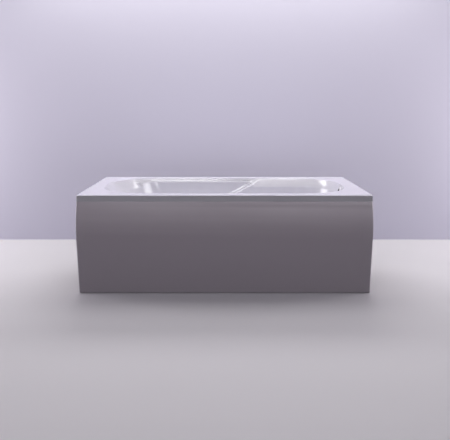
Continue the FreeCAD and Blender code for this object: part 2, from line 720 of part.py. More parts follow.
toe_places = [(f"{x} {side} toe_width / 4", "rim_front + panel_return - screw_inset")
              for x in ("frame_head_x", "frame_foot_x") for side in "-+"]
toe_holes = [rod(f"toe_hole_{number}", "screw_radius + snug_gap", "panel_skin + 2",
                 x, y, "panel_bottom - 1") for number, (x, y) in enumerate(toe_places, 1)]
node("front_panel", minus("front_panel", panel_body, group("toe_holes", toe_holes)))

# ------------------------------------------------------------------ panel clips
tongue = "panel_top - panel_skin"
for number, x in enumerate(clip_places, 1):
    label = f"panel_clip_{number}"
    strip = folded(label + "_strip", "YZ_Plane", [
        ("rim_front + batten_in", "lip_bottom"),
        ("rim_front + panel_return + clip_gap", "lip_bottom"),
        ("rim_front + panel_return + clip_gap", tongue),
        ("rim_front + panel_return / 2", tongue),
        ("rim_front + panel_return / 2", f"{tongue} - steel"),
        ("rim_front + panel_return + clip_gap + steel", f"{tongue} - steel"),
        ("rim_front + panel_return + clip_gap + steel", "lip_bottom - steel"),
        ("rim_front + batten_in", "lip_bottom - steel"),
    ], "clip_width")
    place(strip, x)
    hole = screw_holes(label + "_hole", clip_screws[number - 1:number])
    node(label, minus(label, strip, hole))

# ------------------------------------------------------------------ lower panel brackets
frame_end = "tub_middle - frame_length / 2"
toe_seat = "panel_bottom + panel_skin"
toe_back = "rim_front + panel_return + toe_gap"
bolt_y = f"{frame_end} + toe_width / 2"
for end in ("head", "foot"):
    label = f"panel_bracket_{end}"
    strip = folded(label + "_strip", "YZ_Plane", [
        (f"{frame_end} + toe_width", "board_under"),
        (f"{frame_end} + toe_width", "board_under + toe_steel"),
        (toe_back, "board_under + toe_steel"),
        (toe_back, f"{toe_seat} + toe_steel"),
        ("rim_front + panel_toe_in + panel_skin + toe_clear", f"{toe_seat} + toe_steel"),
        ("rim_front + panel_toe_in + panel_skin + toe_clear", toe_seat),
        (f"{toe_back} + toe_steel", toe_seat),
        (f"{toe_back} + toe_steel", "board_under"),
    ], "toe_width")
    x = f"frame_{end}_x"
    place(strip, x)
    first = 0 if end == "head" else 2
    holes = [rod(f"{label}_hole_{number}", "screw_radius + snug_gap", "toe_steel + 2",
                 hx, hy, f"{toe_seat} - 1")
             for number, (hx, hy) in enumerate(toe_places[first:first + 2], 1)]
    holes.append(rod(label + "_bolt_hole", "screw_radius + snug_gap", "toe_steel + 2",
                     x, bolt_y, "board_under - 1"))
    node(label, minus(label, strip, group(label + "_holes", holes)))

fixings = []
for number, (x, y) in enumerate(toe_places, 1):
    shank = rod(f"toe_shank_{number}", "screw_radius", "panel_skin + toe_steel - 0.5",
                x, y, "panel_bottom + 0.5")
    head = rod(f"toe_head_{number}", "screw_head", "screw_cap", x, y, f"{toe_seat} + toe_steel")
    fixings.append(join(f"toe_screw_{number}", [shank, head]))
for end in ("head", "foot"):
    x = f"frame_{end}_x"
    shank = rod(f"bolt_shank_{end}", "screw_radius", "toe_steel + steel", x, bolt_y,
                "board_under - steel")
    head = rod(f"bolt_head_{end}", "screw_head", "screw_cap", x, bolt_y,
               "board_under + toe_steel")
    tail = rod(f"bolt_nut_{end}", "screw_head", "screw_cap", x, bolt_y,
               "board_under - steel - screw_cap")
    fixings.append(join(f"bracket_bolt_{end}", [tail, shank, head]))
node("panel_bracket_fixings", group("panel_bracket_fixings", fixings))


# ------------------------------------------------------------------ wall brackets
def wall_bracket(label, role, edge, inward, x, y, screws):
    """An angle plate under the lip, with two holes for the wall's own screws."""
    strip = folded(label + "_strip", role, [
        (f"{edge} {inward} ({bracket_in} + screw_inset)", "lip_bottom"),
        (edge, "lip_bottom"),
        (edge, "lip_bottom - wall_bracket_drop"),
        (f"{edge} {inward} steel", "lip_bottom - wall_bracket_drop"),
        (f"{edge} {inward} steel", "lip_bottom - steel"),
        (f"{edge} {inward} ({bracket_in} + screw_inset)", "lip_bottom - steel"),
    ], "wall_bracket_width")
    place(strip, x, y, 0)
    long_side = role == "YZ_Plane"
    holes = [screw_holes(label + "_screw_holes", screws)]
    for sign in "-+":
        shift = f"{sign} wall_hole_pitch / 2"
        hole_x = f"{x} {shift}" if long_side else f"{edge} - steel * 2"
        hole_y = f"{edge} + steel * 2" if long_side else f"tub_middle {shift}"
        axis = vector(1, 0, 0) if long_side else vector(0, 1, 0)
        holes.append(rod(f"{label}_wall_hole_{'ab'[sign == '+']}", "wall_hole", "steel * 4",
                         hole_x, hole_y, "lip_bottom - wall_bracket_drop * 2 / 3", axis, "90 deg"))
    node(label, minus(label, strip, group(label + "_holes", holes)))


wall_bracket("wall_bracket_back_head", "YZ_Plane", "rim_back", "-", "-wall_bracket_x", "0",
             back_screws[:2])
wall_bracket("wall_bracket_back_foot", "YZ_Plane", "rim_back", "-", "wall_bracket_x", "0",
             back_screws[2:])
wall_bracket("wall_bracket_head", "XZ_Plane", "-tub_length / 2", "+", "0", "tub_middle",
             head_screws)
wall_bracket("wall_bracket_foot", "XZ_Plane", "tub_length / 2", "-", "0", "tub_middle",
             foot_screws)


# ------------------------------------------------------------------ waste
def at_waste(body):
    """Set a turned body on the waste's upright axis."""
    return place(body, "waste_x", "tub_middle", 0)


tube_out = "waste_tube + snug_gap"
tube_foot = "waste_foot + tube_clear"
flange_top = "waste_top + flange_rise"
flange = turned("flange", [
    ("waste_bore", tube_foot),
    ("waste_tube", tube_foot),
    ("waste_tube", "waste_top"),
    ("waste_flange_radius", "waste_top"),
    ("waste_flange_radius", "waste_top + 1"),
    ("waste_flange_radius - 4", flange_top),
    ("waste_bore", flange_top),
])
node("waste_flange", at_waste(flange))
for label, low, radius in (("waste_gasket_upper", "basin_floor", "waste_flange_radius - 1"),
                           ("waste_gasket_lower", "waste_nut", "waste_flange_radius - 1")):
    ring = turned(label + "_ring", [
        (tube_out, low),
        (radius, low),
        (radius, f"{low} + gasket"),
        (tube_out, f"{low} + gasket"),
    ])
    node(label, at_waste(ring))

spigot_foot = "waste_foot - spigot_length"
cup = turned("waste_cup", [
    (tube_out, "waste_nut"),
    ("waste_flange_radius + 1", "waste_nut"),
    ("waste_flange_radius + 1", "waste_nut - 8"),
    ("waste_tube + 4", "waste_nut - 8"),
    ("waste_tube + 4", "waste_foot"),
    ("outlet_radius", "waste_foot"),
    ("outlet_radius", spigot_foot),
    ("outlet_radius - pipe_wall", spigot_foot),
    ("outlet_radius - pipe_wall", "waste_foot + 3"),
    ("waste_tube - 1", "waste_foot + 3"),
    ("waste_tube - 1", tube_foot),
    (tube_out, tube_foot),
])
at_waste(cup)
along_x = vector(0, 1, 0)
branch_end = "waste_x + branch_length"
pipe_foot = "waste_x + branch_length - socket_depth"
branch = rod("waste_branch", "overflow_radius + elbow_wall", "branch_length - waste_tube",
             "waste_x + waste_tube", "tub_middle", "overflow_pipe_z", along_x, "90 deg")
branch_bore = rod("branch_bore", "overflow_radius - pipe_wall", "branch_length", "waste_x",
                  "tub_middle", "overflow_pipe_z", along_x, "90 deg")
branch_socket = rod("branch_socket", "overflow_radius + snug_gap", "socket_depth + 4", pipe_foot,
                    "tub_middle", "overflow_pipe_z", along_x, "90 deg")
cup_space = rod("cup_space", "waste_tube - 1", "tube_clear - 3", "waste_x", "tub_middle",
                "waste_foot + 3")
waste_solid = join("waste_solid", [cup, branch])
waste_space = join("waste_space", [branch_bore, branch_socket, cup_space])
node("waste_body", minus("waste_body", waste_solid, waste_space))

sleeve = turned("sleeve", [
    ("plug_stem_radius + running_gap", "waste_foot + 12"),
    ("plug_stem_radius * 2", "waste_foot + 12"),
    ("plug_stem_radius * 2", "waste_nut + 2"),
    ("plug_stem_radius + running_gap", "waste_nut + 2"),
])
at_waste(sleeve)
bars = []
for name, x_half, y_half in (("long", "waste_bore - 0.1", "steel"),
                             ("cross", "steel", "waste_bore - 0.1")):
    bars.append(box(f"sleeve_bar_{name}",
                    (f"waste_x - ({x_half})", f"tub_middle - ({y_half})", f"{tube_foot} + 3"),
                    (f"waste_x + ({x_half})", f"tub_middle + ({y_half})", f"{tube_foot} + 7")))
core = rod("sleeve_core", "plug_stem_radius + running_gap", "60", "waste_x", "tub_middle",
           "waste_foot")
node("waste_cartridge", minus("waste_cartridge", join("sleeve_whole", [sleeve] + bars), core))

cap_under = f"{flange_top} + 1.5"
seal = turned("seal", [
    ("waste_bore + 1", flange_top),
    ("waste_bore + 6", flange_top),
    ("waste_bore + 6", cap_under),
    ("waste_bore + 1", cap_under),
])
node("plug_seal", at_waste(seal))
cap = turned("cap", [
    ("0", cap_under),
    ("plug_radius", cap_under),
    ("plug_radius", f"{cap_under} + 1.5"),
    ("plug_radius * 0.8", f"{cap_under} + 4"),
    ("plug_radius * 0.4", f"{cap_under} + 5.5"),
    ("0", f"{cap_under} + 6"),
])
node("plug_cap", at_waste(cap))
node("plug_stem", rod("stem_of_plug", "plug_stem_radius", f"{cap_under} - waste_foot - 16",
                      "waste_x", "tub_middle", "waste_foot + 16"))


# ------------------------------------------------------------------ trap
def ring_x(name, inner, outer, start, length, x, z):
    """A ring whose axis lies along the bath."""
    disc = rod(name + "_disc", outer, length, f"{x} + {start}", "tub_middle", z,
               along_x, "90 deg")
    hole = rod(name + "_hole", inner, f"{length} + 2", f"{x} + {start} - 1", "tub_middle", z,
               along_x, "90 deg")
    return minus(name, disc, hole)


def trap_route(name, radius, extra):
    """The trap's run of tube: down, along, up and out."""
    far = "waste_x + trap_run"
    lift = f"{spigot_foot} - trap_low + {extra}"
    return join(name, [
        rod(name + "_inlet", radius, lift, "waste_x", "tub_middle", "trap_low"),
        ball(name + "_bend_1", radius, "waste_x", "tub_middle", "trap_low"),
        rod(name + "_run", radius, "trap_run", "waste_x", "tub_middle", "trap_low",
            along_x, "90 deg"),
        ball(name + "_bend_2", radius, far, "tub_middle", "trap_low"),
        rod(name + "_riser", radius, "trap_high - trap_low", far, "tub_middle", "trap_low"),
        ball(name + "_bend_3", radius, far, "tub_middle", "trap_high"),
        rod(name + "_outlet", radius, f"trap_outlet + {extra}", far, "tub_middle", "trap_high",
            along_x, "90 deg"),
    ])


neck = rod("trap_neck", "outlet_radius - 6", "trap_low - 16", "waste_x", "tub_middle", "16")
neck_bore = rod("trap_neck_bore", "outlet_radius - 9", "trap_low", "waste_x", "tub_middle", "10")
collar = rod("trap_collar", "outlet_radius + collar_wall", "collar_length",
             "waste_x + trap_run + outlet_radius + collar_clear", "tub_middle", "trap_high",
             along_x, "90 deg")
trap_solid = join("trap_solid", [trap_route("trap_outside", "outlet_radius", "0"), neck, collar])
trap_space = join("trap_space", [trap_route("trap_inside", "outlet_radius - pipe_wall", "1"),
                                 neck_bore])
node("trap_body", minus("trap_body", trap_solid, trap_space))
inlet_nut = turned("inlet_nut", [
    ("outlet_radius + snug_gap", f"{spigot_foot} - trap_nut_length / 2"),
    ("outlet_radius + pipe_nut_wall", f"{spigot_foot} - trap_nut_length / 2"),
    ("outlet_radius + pipe_nut_wall", f"{spigot_foot} + trap_nut_length / 2"),
    ("outlet_radius + snug_gap", f"{spigot_foot} + trap_nut_length / 2"),
])
node("trap_inlet_nut", at_waste(inlet_nut))
node("trap_outlet_nut", ring_x("trap_outlet_nut", "outlet_radius + collar_wall + snug_gap",
                               "outlet_radius + collar_wall + pipe_nut_wall",
                               "outlet_radius + collar_clear + collar_length - trap_nut_length",
                               "trap_nut_length", "waste_x + trap_run", "trap_high"))
node("trap_cleaning_cap", rod("cleaning_cap", "outlet_radius - 3", "6", "waste_x",
                              "tub_middle", "10"))


# ------------------------------------------------------------------ overflow
def at_overflow(body):
    """Set a turned body square on the sloping end wall, its axis pointing outwards."""
    turn(body, vector(0, 1, 0), "90 deg + atan(foot_lean)")
    return place(body, "overflow_x", "tub_middle", "overflow_z")


skin = "shell_wall * cos(atan(foot_lean))"
spigot = "overflow_hole - 0.1"
rosette = turned("rosette", [
    ("rosette_opening", "-4"),
    ("rosette_opening + 5", "-7"),
    ("rosette_radius - 6", "-6.5"),
    ("rosette_radius", "-2.5"),
    ("rosette_radius", "-0.6"),
    (f"{spigot} + 2", "0"),
    (spigot, "0"),
    (spigot, "14"),
    ("rosette_opening", "14"),
])
node("overflow_rosette", at_overflow(rosette))
washer = turned("washer", [
    ("overflow_hole + 0.1", skin),
    ("overflow_hole + 10", skin),
    ("overflow_hole + 10", f"{skin} + 3"),
    ("overflow_hole + 0.1", f"{skin} + 3"),
])
node("overflow_seal", at_overflow(washer))
elbow_cup = turned("elbow_cup", [
    (f"{spigot} + snug_gap", f"{skin} + 3"),
    ("overflow_hole + 10", f"{skin} + 3"),
    ("overflow_hole + 10", f"{skin} + 7"),
    ("overflow_hole + elbow_wall", f"{skin} + 7"),
    ("overflow_hole + elbow_wall", "elbow_inside + elbow_wall"),
    ("0", "elbow_inside + elbow_wall"),
    ("0", "elbow_inside"),
    (f"{spigot} + snug_gap", "elbow_inside"),
])
at_overflow(elbow_cup)
elbow_foot = "overflow_z - elbow_drop"
pipe_top = f"{elbow_foot} + socket_depth - 4"
elbow_tail = rod("elbow_tail", "overflow_radius + elbow_wall", "elbow_drop - 6",
                 "overflow_pipe_x", "tub_middle", elbow_foot)
elbow_bore = rod("elbow_bore", "overflow_radius - pipe_wall", "elbow_drop", "overflow_pipe_x",
                 "tub_middle", elbow_foot)
elbow_socket = rod("elbow_socket", "overflow_radius + snug_gap", "socket_depth - 3", "overflow_pipe_x",
                   "tub_middle", f"{elbow_foot} - 1")
elbow_space = at_overflow(turned("elbow_inside", [
    ("0", skin),
    (f"{spigot} + snug_gap", skin),
    (f"{spigot} + snug_gap", "elbow_inside"),
    ("0", "elbow_inside"),
]))
elbow_solid = join("elbow_solid", [elbow_cup, elbow_tail])
elbow_hollow = join("elbow_hollow", [elbow_bore, elbow_socket, elbow_space])
node("overflow_elbow", minus("overflow_elbow", elbow_solid, elbow_hollow))

# The pipe runs level from the waste, bends once and climbs to the elbow.
pipe = document.addObject("PartDesign::Body", "pipe")
route = pipe.newObject("Sketcher::SketchObject", "pipe_route")
route.AttachmentSupport = [(plane_of(pipe, "XZ_Plane"), "")]
route.MapMode = "FlatFace"
start = vector(size(pipe_foot), size("overflow_pipe_z"), 0)
turn_in = vector(size("overflow_pipe_x - overflow_bend"), start.y, 0)
centre = turn_in + vector(0, size("overflow_bend"), 0)
turn_out = centre + vector(size("overflow_bend"), 0, 0)
finish = vector(turn_out.x, size(pipe_top), 0)
bend = Part.ArcOfCircle(Part.Circle(centre, vector(0, 0, 1), size("overflow_bend")),
                        math.radians(-90), 0)
route.addGeometry([Part.LineSegment(start, turn_in), bend, Part.LineSegment(turn_out, finish)],
                  False)
rule = Sketcher.Constraint
route.addConstraint([rule("Tangent", 0, 2, 1, 1), rule("Tangent", 1, 2, 2, 1)])
route.addConstraint([rule("Horizontal", 0), rule("Vertical", 2)])
for constraint, text in (
        (rule("DistanceX", -1, 1, 0, 1, start.x), pipe_foot),
        (rule("DistanceY", -1, 1, 0, 1, start.y), "overflow_pipe_z"),
        (rule("DistanceX", -1, 1, 2, 2, finish.x), "overflow_pipe_x"),
        (rule("DistanceY", -1, 1, 2, 2, finish.y), pipe_top),
        (rule("Radius", 1, centre.y - start.y), "overflow_bend")):
    number = route.addConstraint(constraint)
    route.setExpression(f"Constraints[{number}]", formula(text))
section = pipe.newObject("Sketcher::SketchObject", "pipe_section")
section.AttachmentSupport = [(plane_of(pipe, "YZ_Plane"), "")]
section.MapMode = "FlatFace"
section.setExpression("AttachmentOffset.Base.z", formula(pipe_foot))
for number, text in enumerate(("overflow_radius", "overflow_radius - pipe_wall")):
    centre = vector(0, start.y, 0)
    section.addGeometry(Part.Circle(centre, vector(0, 0, 1), size(text)), False)
    section.addConstraint(rule("PointOnObject", number, 3, -2))
    for constraint, words in ((rule("DistanceY", -1, 1, number, 3, start.y), "overflow_pipe_z"),
                              (rule("Radius", number, size(text)), text)):
        index = section.addConstraint(constraint)
        section.setExpression(f"Constraints[{index}]", formula(words))
sweep = pipe.newObject("PartDesign::AdditivePipe", "pipe_sweep")
sweep.Profile = section
sweep.Spine = route
place(pipe, 0, "tub_middle", 0)
node("overflow_pipe", pipe)
upper_nut = turned("upper_pipe_nut", [
    ("overflow_radius + snug_gap", f"{elbow_foot} - pipe_nut_length"),
    ("overflow_radius + pipe_nut_wall", f"{elbow_foot} - pipe_nut_length"),
    ("overflow_radius + pipe_nut_wall", elbow_foot),
    ("overflow_radius + snug_gap", elbow_foot),
])
place(upper_nut, "overflow_pipe_x", "tub_middle", 0)
lower_nut = ring_x("lower_pipe_nut", "overflow_radius + snug_gap",
                   "overflow_radius + pipe_nut_wall", "0", "pipe_nut_length", branch_end,
                   "overflow_pipe_z")
node("overflow_nuts", group("overflow_nuts", [upper_nut, lower_nut]))

# ------------------------------------------------------------------ hand over
document.recompute()
for thing in document.Objects:
    assert not {"Invalid", "Error"} & set(thing.State), (thing.Name, thing.State)
os.makedirs("parts", exist_ok=True)
for thing in nodes:
    shape = thing.Shape
    assert not shape.isNull() and shape.isValid(), thing.Label
    shape.exportStep(f"parts/{thing.Label}.step")
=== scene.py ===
import math

import bpy
from mathutils import Matrix, Vector


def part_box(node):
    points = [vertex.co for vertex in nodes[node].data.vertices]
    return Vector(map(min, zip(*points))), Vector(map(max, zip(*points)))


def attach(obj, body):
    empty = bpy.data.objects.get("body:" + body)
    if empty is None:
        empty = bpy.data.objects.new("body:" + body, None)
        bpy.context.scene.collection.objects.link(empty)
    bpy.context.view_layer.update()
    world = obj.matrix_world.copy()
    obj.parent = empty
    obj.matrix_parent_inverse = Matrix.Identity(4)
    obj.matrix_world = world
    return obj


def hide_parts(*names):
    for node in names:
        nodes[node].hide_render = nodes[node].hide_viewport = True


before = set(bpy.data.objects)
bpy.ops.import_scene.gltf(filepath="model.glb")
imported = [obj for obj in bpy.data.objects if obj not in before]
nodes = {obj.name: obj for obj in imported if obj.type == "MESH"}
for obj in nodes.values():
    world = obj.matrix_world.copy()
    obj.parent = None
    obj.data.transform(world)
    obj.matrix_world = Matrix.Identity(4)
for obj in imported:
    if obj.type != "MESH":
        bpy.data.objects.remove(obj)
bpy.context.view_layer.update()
bpy.ops.object.select_all(action="DESELECT")

# ---------------------------------------------------------------- moulded shell
# The bath itself is one sheet of cast acrylic, heated and drawn by vacuum into a mould, so
# every edge is rolled. Its back is sprayed with chopped glass fibre in resin. The narrow
# ledge under the rim and the arm rests sweeping up to it are moulded in, with no joint.
rim_low, rim_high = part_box("tub_shell")
middle = (rim_low.y + rim_high.y) / 2
deck = rim_high.z
lip_foot = 0.544
skin = 0.006
floor_level = 0.155
rise = deck - floor_level
# The walls' places at the deck and at the floor, and how far edge and recess stand out.
wall_deck = {"head": -0.716, "foot": 0.751, "half": 0.258, "corner": 0.240}
wall_floor = {"head": -0.470, "foot": 0.658, "half": 0.200, "corner": 0.170}
roll_out = {"head": 0.044, "foot": 0.005, "half": 0.046, "corner": 0.023}
recess_out = {"head": 0.004, "foot": 0.0, "half": 0.017, "corner": 0.011}
roll_deep = 0.045
cove = 0.060
arm_level, arm_end = 0.440, -0.067
sweep_end = 0.242
arm_lower_step, arm_upper_step = (-0.016, -0.010), (-0.003, 0.006)
ledge_from, ledge_to, ledge_fade = -0.600, 0.190, 0.020
side_cuts, end_cuts, corner_cuts = 190, 22, 28
face_cuts = {"roll": 24, "wall": 32, "cove": 8}
back_cuts = {"roll": 8, "wall": 14, "cove": 5}
rim_corner, least_corner = 0.008, 0.020
waste = Vector((0.540, middle))
waste_hole = 0.026
overflow_z, overflow_hole = 0.540, 0.017


def ease(low, high, value):
    """0 below low, 1 above high, and a smooth rise between them."""
    t = min(1.0, max(0.0, (value - low) / (high - low)))
    return t * t * (3 - 2 * t)


def outline_stations():
    """The (part, share) of each column round a rounded rectangle, starting mid waste end."""
    parts = [("foot_up", end_cuts), ("corner_0", corner_cuts), ("back", side_cuts),
             ("corner_1", corner_cuts), ("head", end_cuts * 2), ("corner_2", corner_cuts),
             ("front", side_cuts), ("corner_3", corner_cuts), ("foot_down", end_cuts)]
    return [(part, step / cuts) for part, cuts in parts for step in range(cuts)]


def on_outline(station, size):
    """A point of the rounded rectangle that size gives, from head to foot."""
    part, share = station
    head, foot, half, corner = size["head"], size["foot"], size["half"], size["corner"]
    if part.startswith("corner"):
        number = int(part[-1])
        angle = math.radians(90 * (number + share))
        x = (foot - corner) if number in (0, 3) else (head + corner)
        y = (half - corner) if number in (0, 1) else -(half - corner)
        return Vector((x + corner * math.cos(angle), y + corner * math.sin(angle)))
    reach = half - corner
    if part == "foot_up":
        return Vector((foot, reach * share))
    if part == "foot_down":
        return Vector((foot, reach * (share - 1)))
    if part == "head":
        return Vector((head, reach * (1 - 2 * share)))
    long = foot - head - 2 * corner
    if part == "back":
        return Vector((foot - corner - long * share, half))
    return Vector((head + corner + long * share, -half))


def arm_distance(x, z):
    """How far a place on the wall is above the arm rest's line, measured square to it."""
    slope = math.atan2(deck - arm_level, sweep_end - arm_end)
    flat = z - arm_level
    ramp = (z - arm_level) * math.cos(slope) - (x - arm_end) * math.sin(slope)
    blend = 0.020
    gap = max(blend - abs(flat - ramp), 0.0) / blend
    return min(flat, ramp) - gap * gap * blend / 4


def wall_size(drop, flare, recess, grow):
    """The basin's outline at one depth: sloping walls, rolled edge and side recess."""
    share = drop / rise
    size = {}
    for key in wall_deck:
        straight = wall_deck[key] + (wall_floor[key] - wall_deck[key]) * share
        out = recess_out[key] * recess
        out += (roll_out[key] - out) * flare + grow
        size[key] = straight - out if key == "head" else straight + out
    return size


def soft_flare(drop):
    """How far the plain edge still stands out at some depth, as it eases into the wall."""
    share, start, length, curve = 0.90, 0.004, 0.050, 1.25
    return share * max(1 - (drop - start) / length, 0.0) ** curve


# The edge and the ledges go down from the deck as (share of the flare, depth).
soft_edge = [(1.0, 0.0), (0.985, 0.0002), (0.960, 0.0009), (0.930, 0.0022)]
soft_edge += [(soft_flare(0.001 * depth), 0.001 * depth)
              for depth in (4, 8, 13, 19, 25, 31, 38, 45)]
ledges = [(1.0, 0.0), (0.985, 0.0012), (0.965, 0.0060), (0.94, 0.0076), (0.66, 0.0082),
          (0.60, 0.0088), (0.565, 0.0110), (0.545, 0.0170), (0.51, 0.0188), (0.12, 0.0196),
          (0.05, 0.0206), (0.01, 0.0240), (0.0, 0.0450)]


def along(path, share, place):
    """A value of a path at some share of its points."""
    spot = share * (len(path) - 1)
    low = min(int(spot), len(path) - 2)
    return path[low][place] + (path[low + 1][place] - path[low][place]) * (spot - low)


def shell_point(station, row):
    """A point of the inside or the back of the basin. Row is (kind, share, grow)."""
    kind, share, grow = row
    base = on_outline(station, wall_deck)
    in_ledge = 0.0 if station[0] in ("head", "foot_up", "foot_down") else (
        ease(ledge_from - ledge_fade, ledge_from + ledge_fade, base.x)
        * (1 - ease(ledge_to - ledge_fade, ledge_to + ledge_fade, base.x)))
    if kind == "roll":
        drop = along(soft_edge, share, 1) + (along(ledges, share, 1)
                                             - along(soft_edge, share, 1)) * in_ledge + grow
        flare = along(soft_edge, share, 0) + (along(ledges, share, 0)
                                              - along(soft_edge, share, 0)) * in_ledge
    elif kind == "wall":
        top, foot = roll_deep + grow, rise - cove
        line = deck - arm_level if base.x < arm_end else (
            (deck - arm_level) * (sweep_end - base.x) / (sweep_end - arm_end))
        least_above, band = 0.020, 0.018
        line = min(max(line, top + least_above), foot)
        fine_from, fine_to = 0.25, 0.75
        if share < fine_from:
            drop = top + (line - band - top) * share / fine_from
        elif share < fine_to:
            drop = line - band + 2 * band * (share - fine_from) / (fine_to - fine_from)
        else:
            drop = line + band + (foot - line - band) * (share - fine_to) / (1 - fine_to)
        flare = soft_flare(drop - grow) * (1 - in_ledge)
    else:
        angle = math.radians(90 * share)
        drop = rise + grow - (cove + grow) * (1 - math.sin(angle))
        flare = 0.0
    above = arm_distance(base.x, deck - drop)
    recess = 0.40 * ease(*arm_lower_step, above) + 0.60 * ease(*arm_upper_step, above)
    if station[0] in ("foot_up", "foot_down"):
        recess = 0.0
    size = wall_size(drop, flare, recess, grow)
    point = on_outline(station, size)
    if kind == "cove":
        inward = (cove + grow) * (1 - math.cos(angle))
        shrunk = {"head": size["head"] + inward, "foot": size["foot"] - inward,
                  "half": size["half"] - inward,
                  "corner": max(size["corner"] - inward, least_corner)}
        point = on_outline(station, shrunk)
    return Vector((point.x, middle + point.y, deck - drop))


def rim_size(inset):
    """The rim's outline, moved in by inset."""
    return {"head": rim_low.x + inset, "foot": rim_high.x - inset,
            "half": (rim_high.y - rim_low.y) / 2 - inset,
            "corner": max(rim_corner - inset, 0.001)}


def rim_point(station, inset, height):
    """A point of the lip or the deck, at the rim's outline moved in by inset."""
    point = on_outline(station, rim_size(inset))
    return Vector((point.x, middle + point.y, height))


def shell_column(station):
    """All points of one cut through the shell, from the lip's foot round to its inside."""
    edge, edge_cuts = 0.004, 6
    column = [rim_point(station, 0.0, lip_foot)]
    column += [rim_point(station, 0.0, lip_foot + (deck - edge - lip_foot) * s) for s in (0.5, 1)]
    for step in range(1, edge_cuts + 1):
        angle = math.radians(90 * step / edge_cuts)
        column.append(rim_point(station, edge * (1 - math.cos(angle)),
                                deck - edge * (1 - math.sin(angle))))
    first = shell_point(station, ("roll", 0.0, 0.0))
    outer = column[-1]
    column += [outer.lerp(first, s) for s in (0.08, 0.35, 0.7, 0.93)] + [first]
    for kind, cuts in face_cuts.items():
        column += [shell_point(station, (kind, step / cuts, 0.0)) for step in range(1, cuts + 1)]
    last = column[-1]
    away = Vector((last.x - waste.x, last.y - waste.y)).normalized() * waste_hole
    hole = Vector((waste.x + away.x, waste.y + away.y, floor_level))
    column += [last.lerp(hole, s) for s in (0.25, 0.5, 0.75, 0.92, 1)]
    under_first = shell_point(station, ("roll", 0.0, skin))
    back = [rim_point(station, skin, lip_foot), rim_point(station, skin, deck - skin)]
    back += [back[-1].lerp(under_first, s) for s in (0.5, 1)]
    for kind, cuts in back_cuts.items():
        back += [shell_point(station, (kind, step / cuts, skin)) for step in range(1, cuts + 1)]
    low = Vector((hole.x, hole.y, floor_level - skin))
    back += [back[-1].lerp(low, s) for s in (0.4, 0.75, 1)]
    return column, back


def linear(code):
    """An sRGB hex colour as the linear values that a shader takes."""
    parts = [int(code[place:place + 2], 16) / 255 for place in (1, 3, 5)]
    return [part / 12.92 if part <= 0.04045 else ((part + 0.055) / 1.055) ** 2.4
            for part in parts] + [1.0]


def add_node(material, kind, settings=None, links=None):
    """Adds a node to a material with its settings and what its inputs are joined to."""
    node = material.node_tree.nodes.new("ShaderNode" + kind)
    for name, value in (settings or {}).items():
        if isinstance(name, str) and hasattr(node, name):
            setattr(node, name, value)
        else:
            node.inputs[name].default_value = value
    for name, source in (links or {}).items():
        material.node_tree.links.new(source, node.inputs[name])
    return node


def blank(name):
    """A material with an empty node tree."""
    material = bpy.data.materials.new(name)
    material.use_nodes = True
    material.node_tree.nodes.clear()
    return material


# Cast acrylic (PMMA) drawn over a mould: glassy gloss over a white with a breath of lilac.
# The draw leaves waves about 60 mm apart, far too flat to feel but seen in reflections.
acrylic = blank("cast_acrylic_sheet")
place = add_node(acrylic, "TexCoord").outputs["Object"]
waves = add_node(acrylic, "TexNoise", {"Scale": 1 / 0.060, "Detail": 1.0}, {"Vector": place})
tint = add_node(acrylic, "Mix", {"data_type": "RGBA", 6: linear("#e3e2ec"), 7: linear("#e9e8f1")},
                {0: waves.outputs["Fac"]})
draw = add_node(acrylic, "Bump", {"Strength": 0.018, "Distance": 0.002},
                {"Height": waves.outputs["Fac"]})
gloss = add_node(acrylic, "BsdfPrincipled", {"Roughness": 0.09, "IOR": 1.49},
                 {"Base Color": tint.outputs[2], "Normal": draw.outputs["Normal"]})
add_node(acrylic, "OutputMaterial", {}, {"Surface": gloss.outputs["BSDF"]})

# Chopped glass strands about 25 mm long under rolled resin: matt, lumpy and cream white.
fibre = blank("sprayed_glass_fibre")
place = add_node(fibre, "TexCoord").outputs["Object"]
strands = add_node(fibre, "TexVoronoi", {"Scale": 1 / 0.012, "feature": "F2"}, {"Vector": place})
lumps = add_node(fibre, "TexNoise", {"Scale": 1 / 0.030, "Detail": 5.0}, {"Vector": place})
resin = add_node(fibre, "Mix", {"data_type": "RGBA", 6: linear("#b9b29b"), 7: linear("#ddd9cb")},
                 {0: lumps.outputs["Fac"]})
relief = add_node(fibre, "Math", {"operation": "ADD"},
                  {0: strands.outputs["Distance"], 1: lumps.outputs["Fac"]})
nap = add_node(fibre, "Bump", {"Strength": 0.6, "Distance": 0.002},
               {"Height": relief.outputs["Value"]})
rough = add_node(fibre, "BsdfPrincipled", {"Roughness": 0.6, "IOR": 1.52},
                 {"Base Color": resin.outputs[2], "Normal": nap.outputs["Normal"]})
add_node(fibre, "OutputMaterial", {}, {"Surface": rough.outputs["BSDF"]})

# A flat grid with a column for each station and a row for each point of its cut.
stations = outline_stations()
sections = [shell_column(station) for station in stations]
face_rows = len(sections[0][0])
rows = face_rows + len(sections[0][1])
bpy.ops.mesh.primitive_grid_add(x_subdivisions=len(stations), y_subdivisions=rows, size=1)
shell = bpy.context.object
shell.name = "moulded_shell"
shell.data.materials.append(acrylic)
shell.data.materials.append(fibre)
for polygon in shell.data.polygons:
    row = round((polygon.center.y + 0.5) * rows - 0.5)
    polygon.material_index = 1 if face_rows <= row < rows - 1 else 0
for vertex in shell.data.vertices:
    column = round((vertex.co.x + 0.5) * len(stations)) % len(stations)
    row = round((vertex.co.y + 0.5) * rows) % rows
    inside, back = sections[column]
    vertex.co = (inside + back[::-1])[row]
bpy.ops.object.mode_set(mode="EDIT")
bpy.ops.mesh.select_all(action="SELECT")
bpy.ops.mesh.remove_doubles(threshold=0.000004)
bpy.ops.mesh.normals_make_consistent(inside=False)
bpy.ops.object.mode_set(mode="OBJECT")


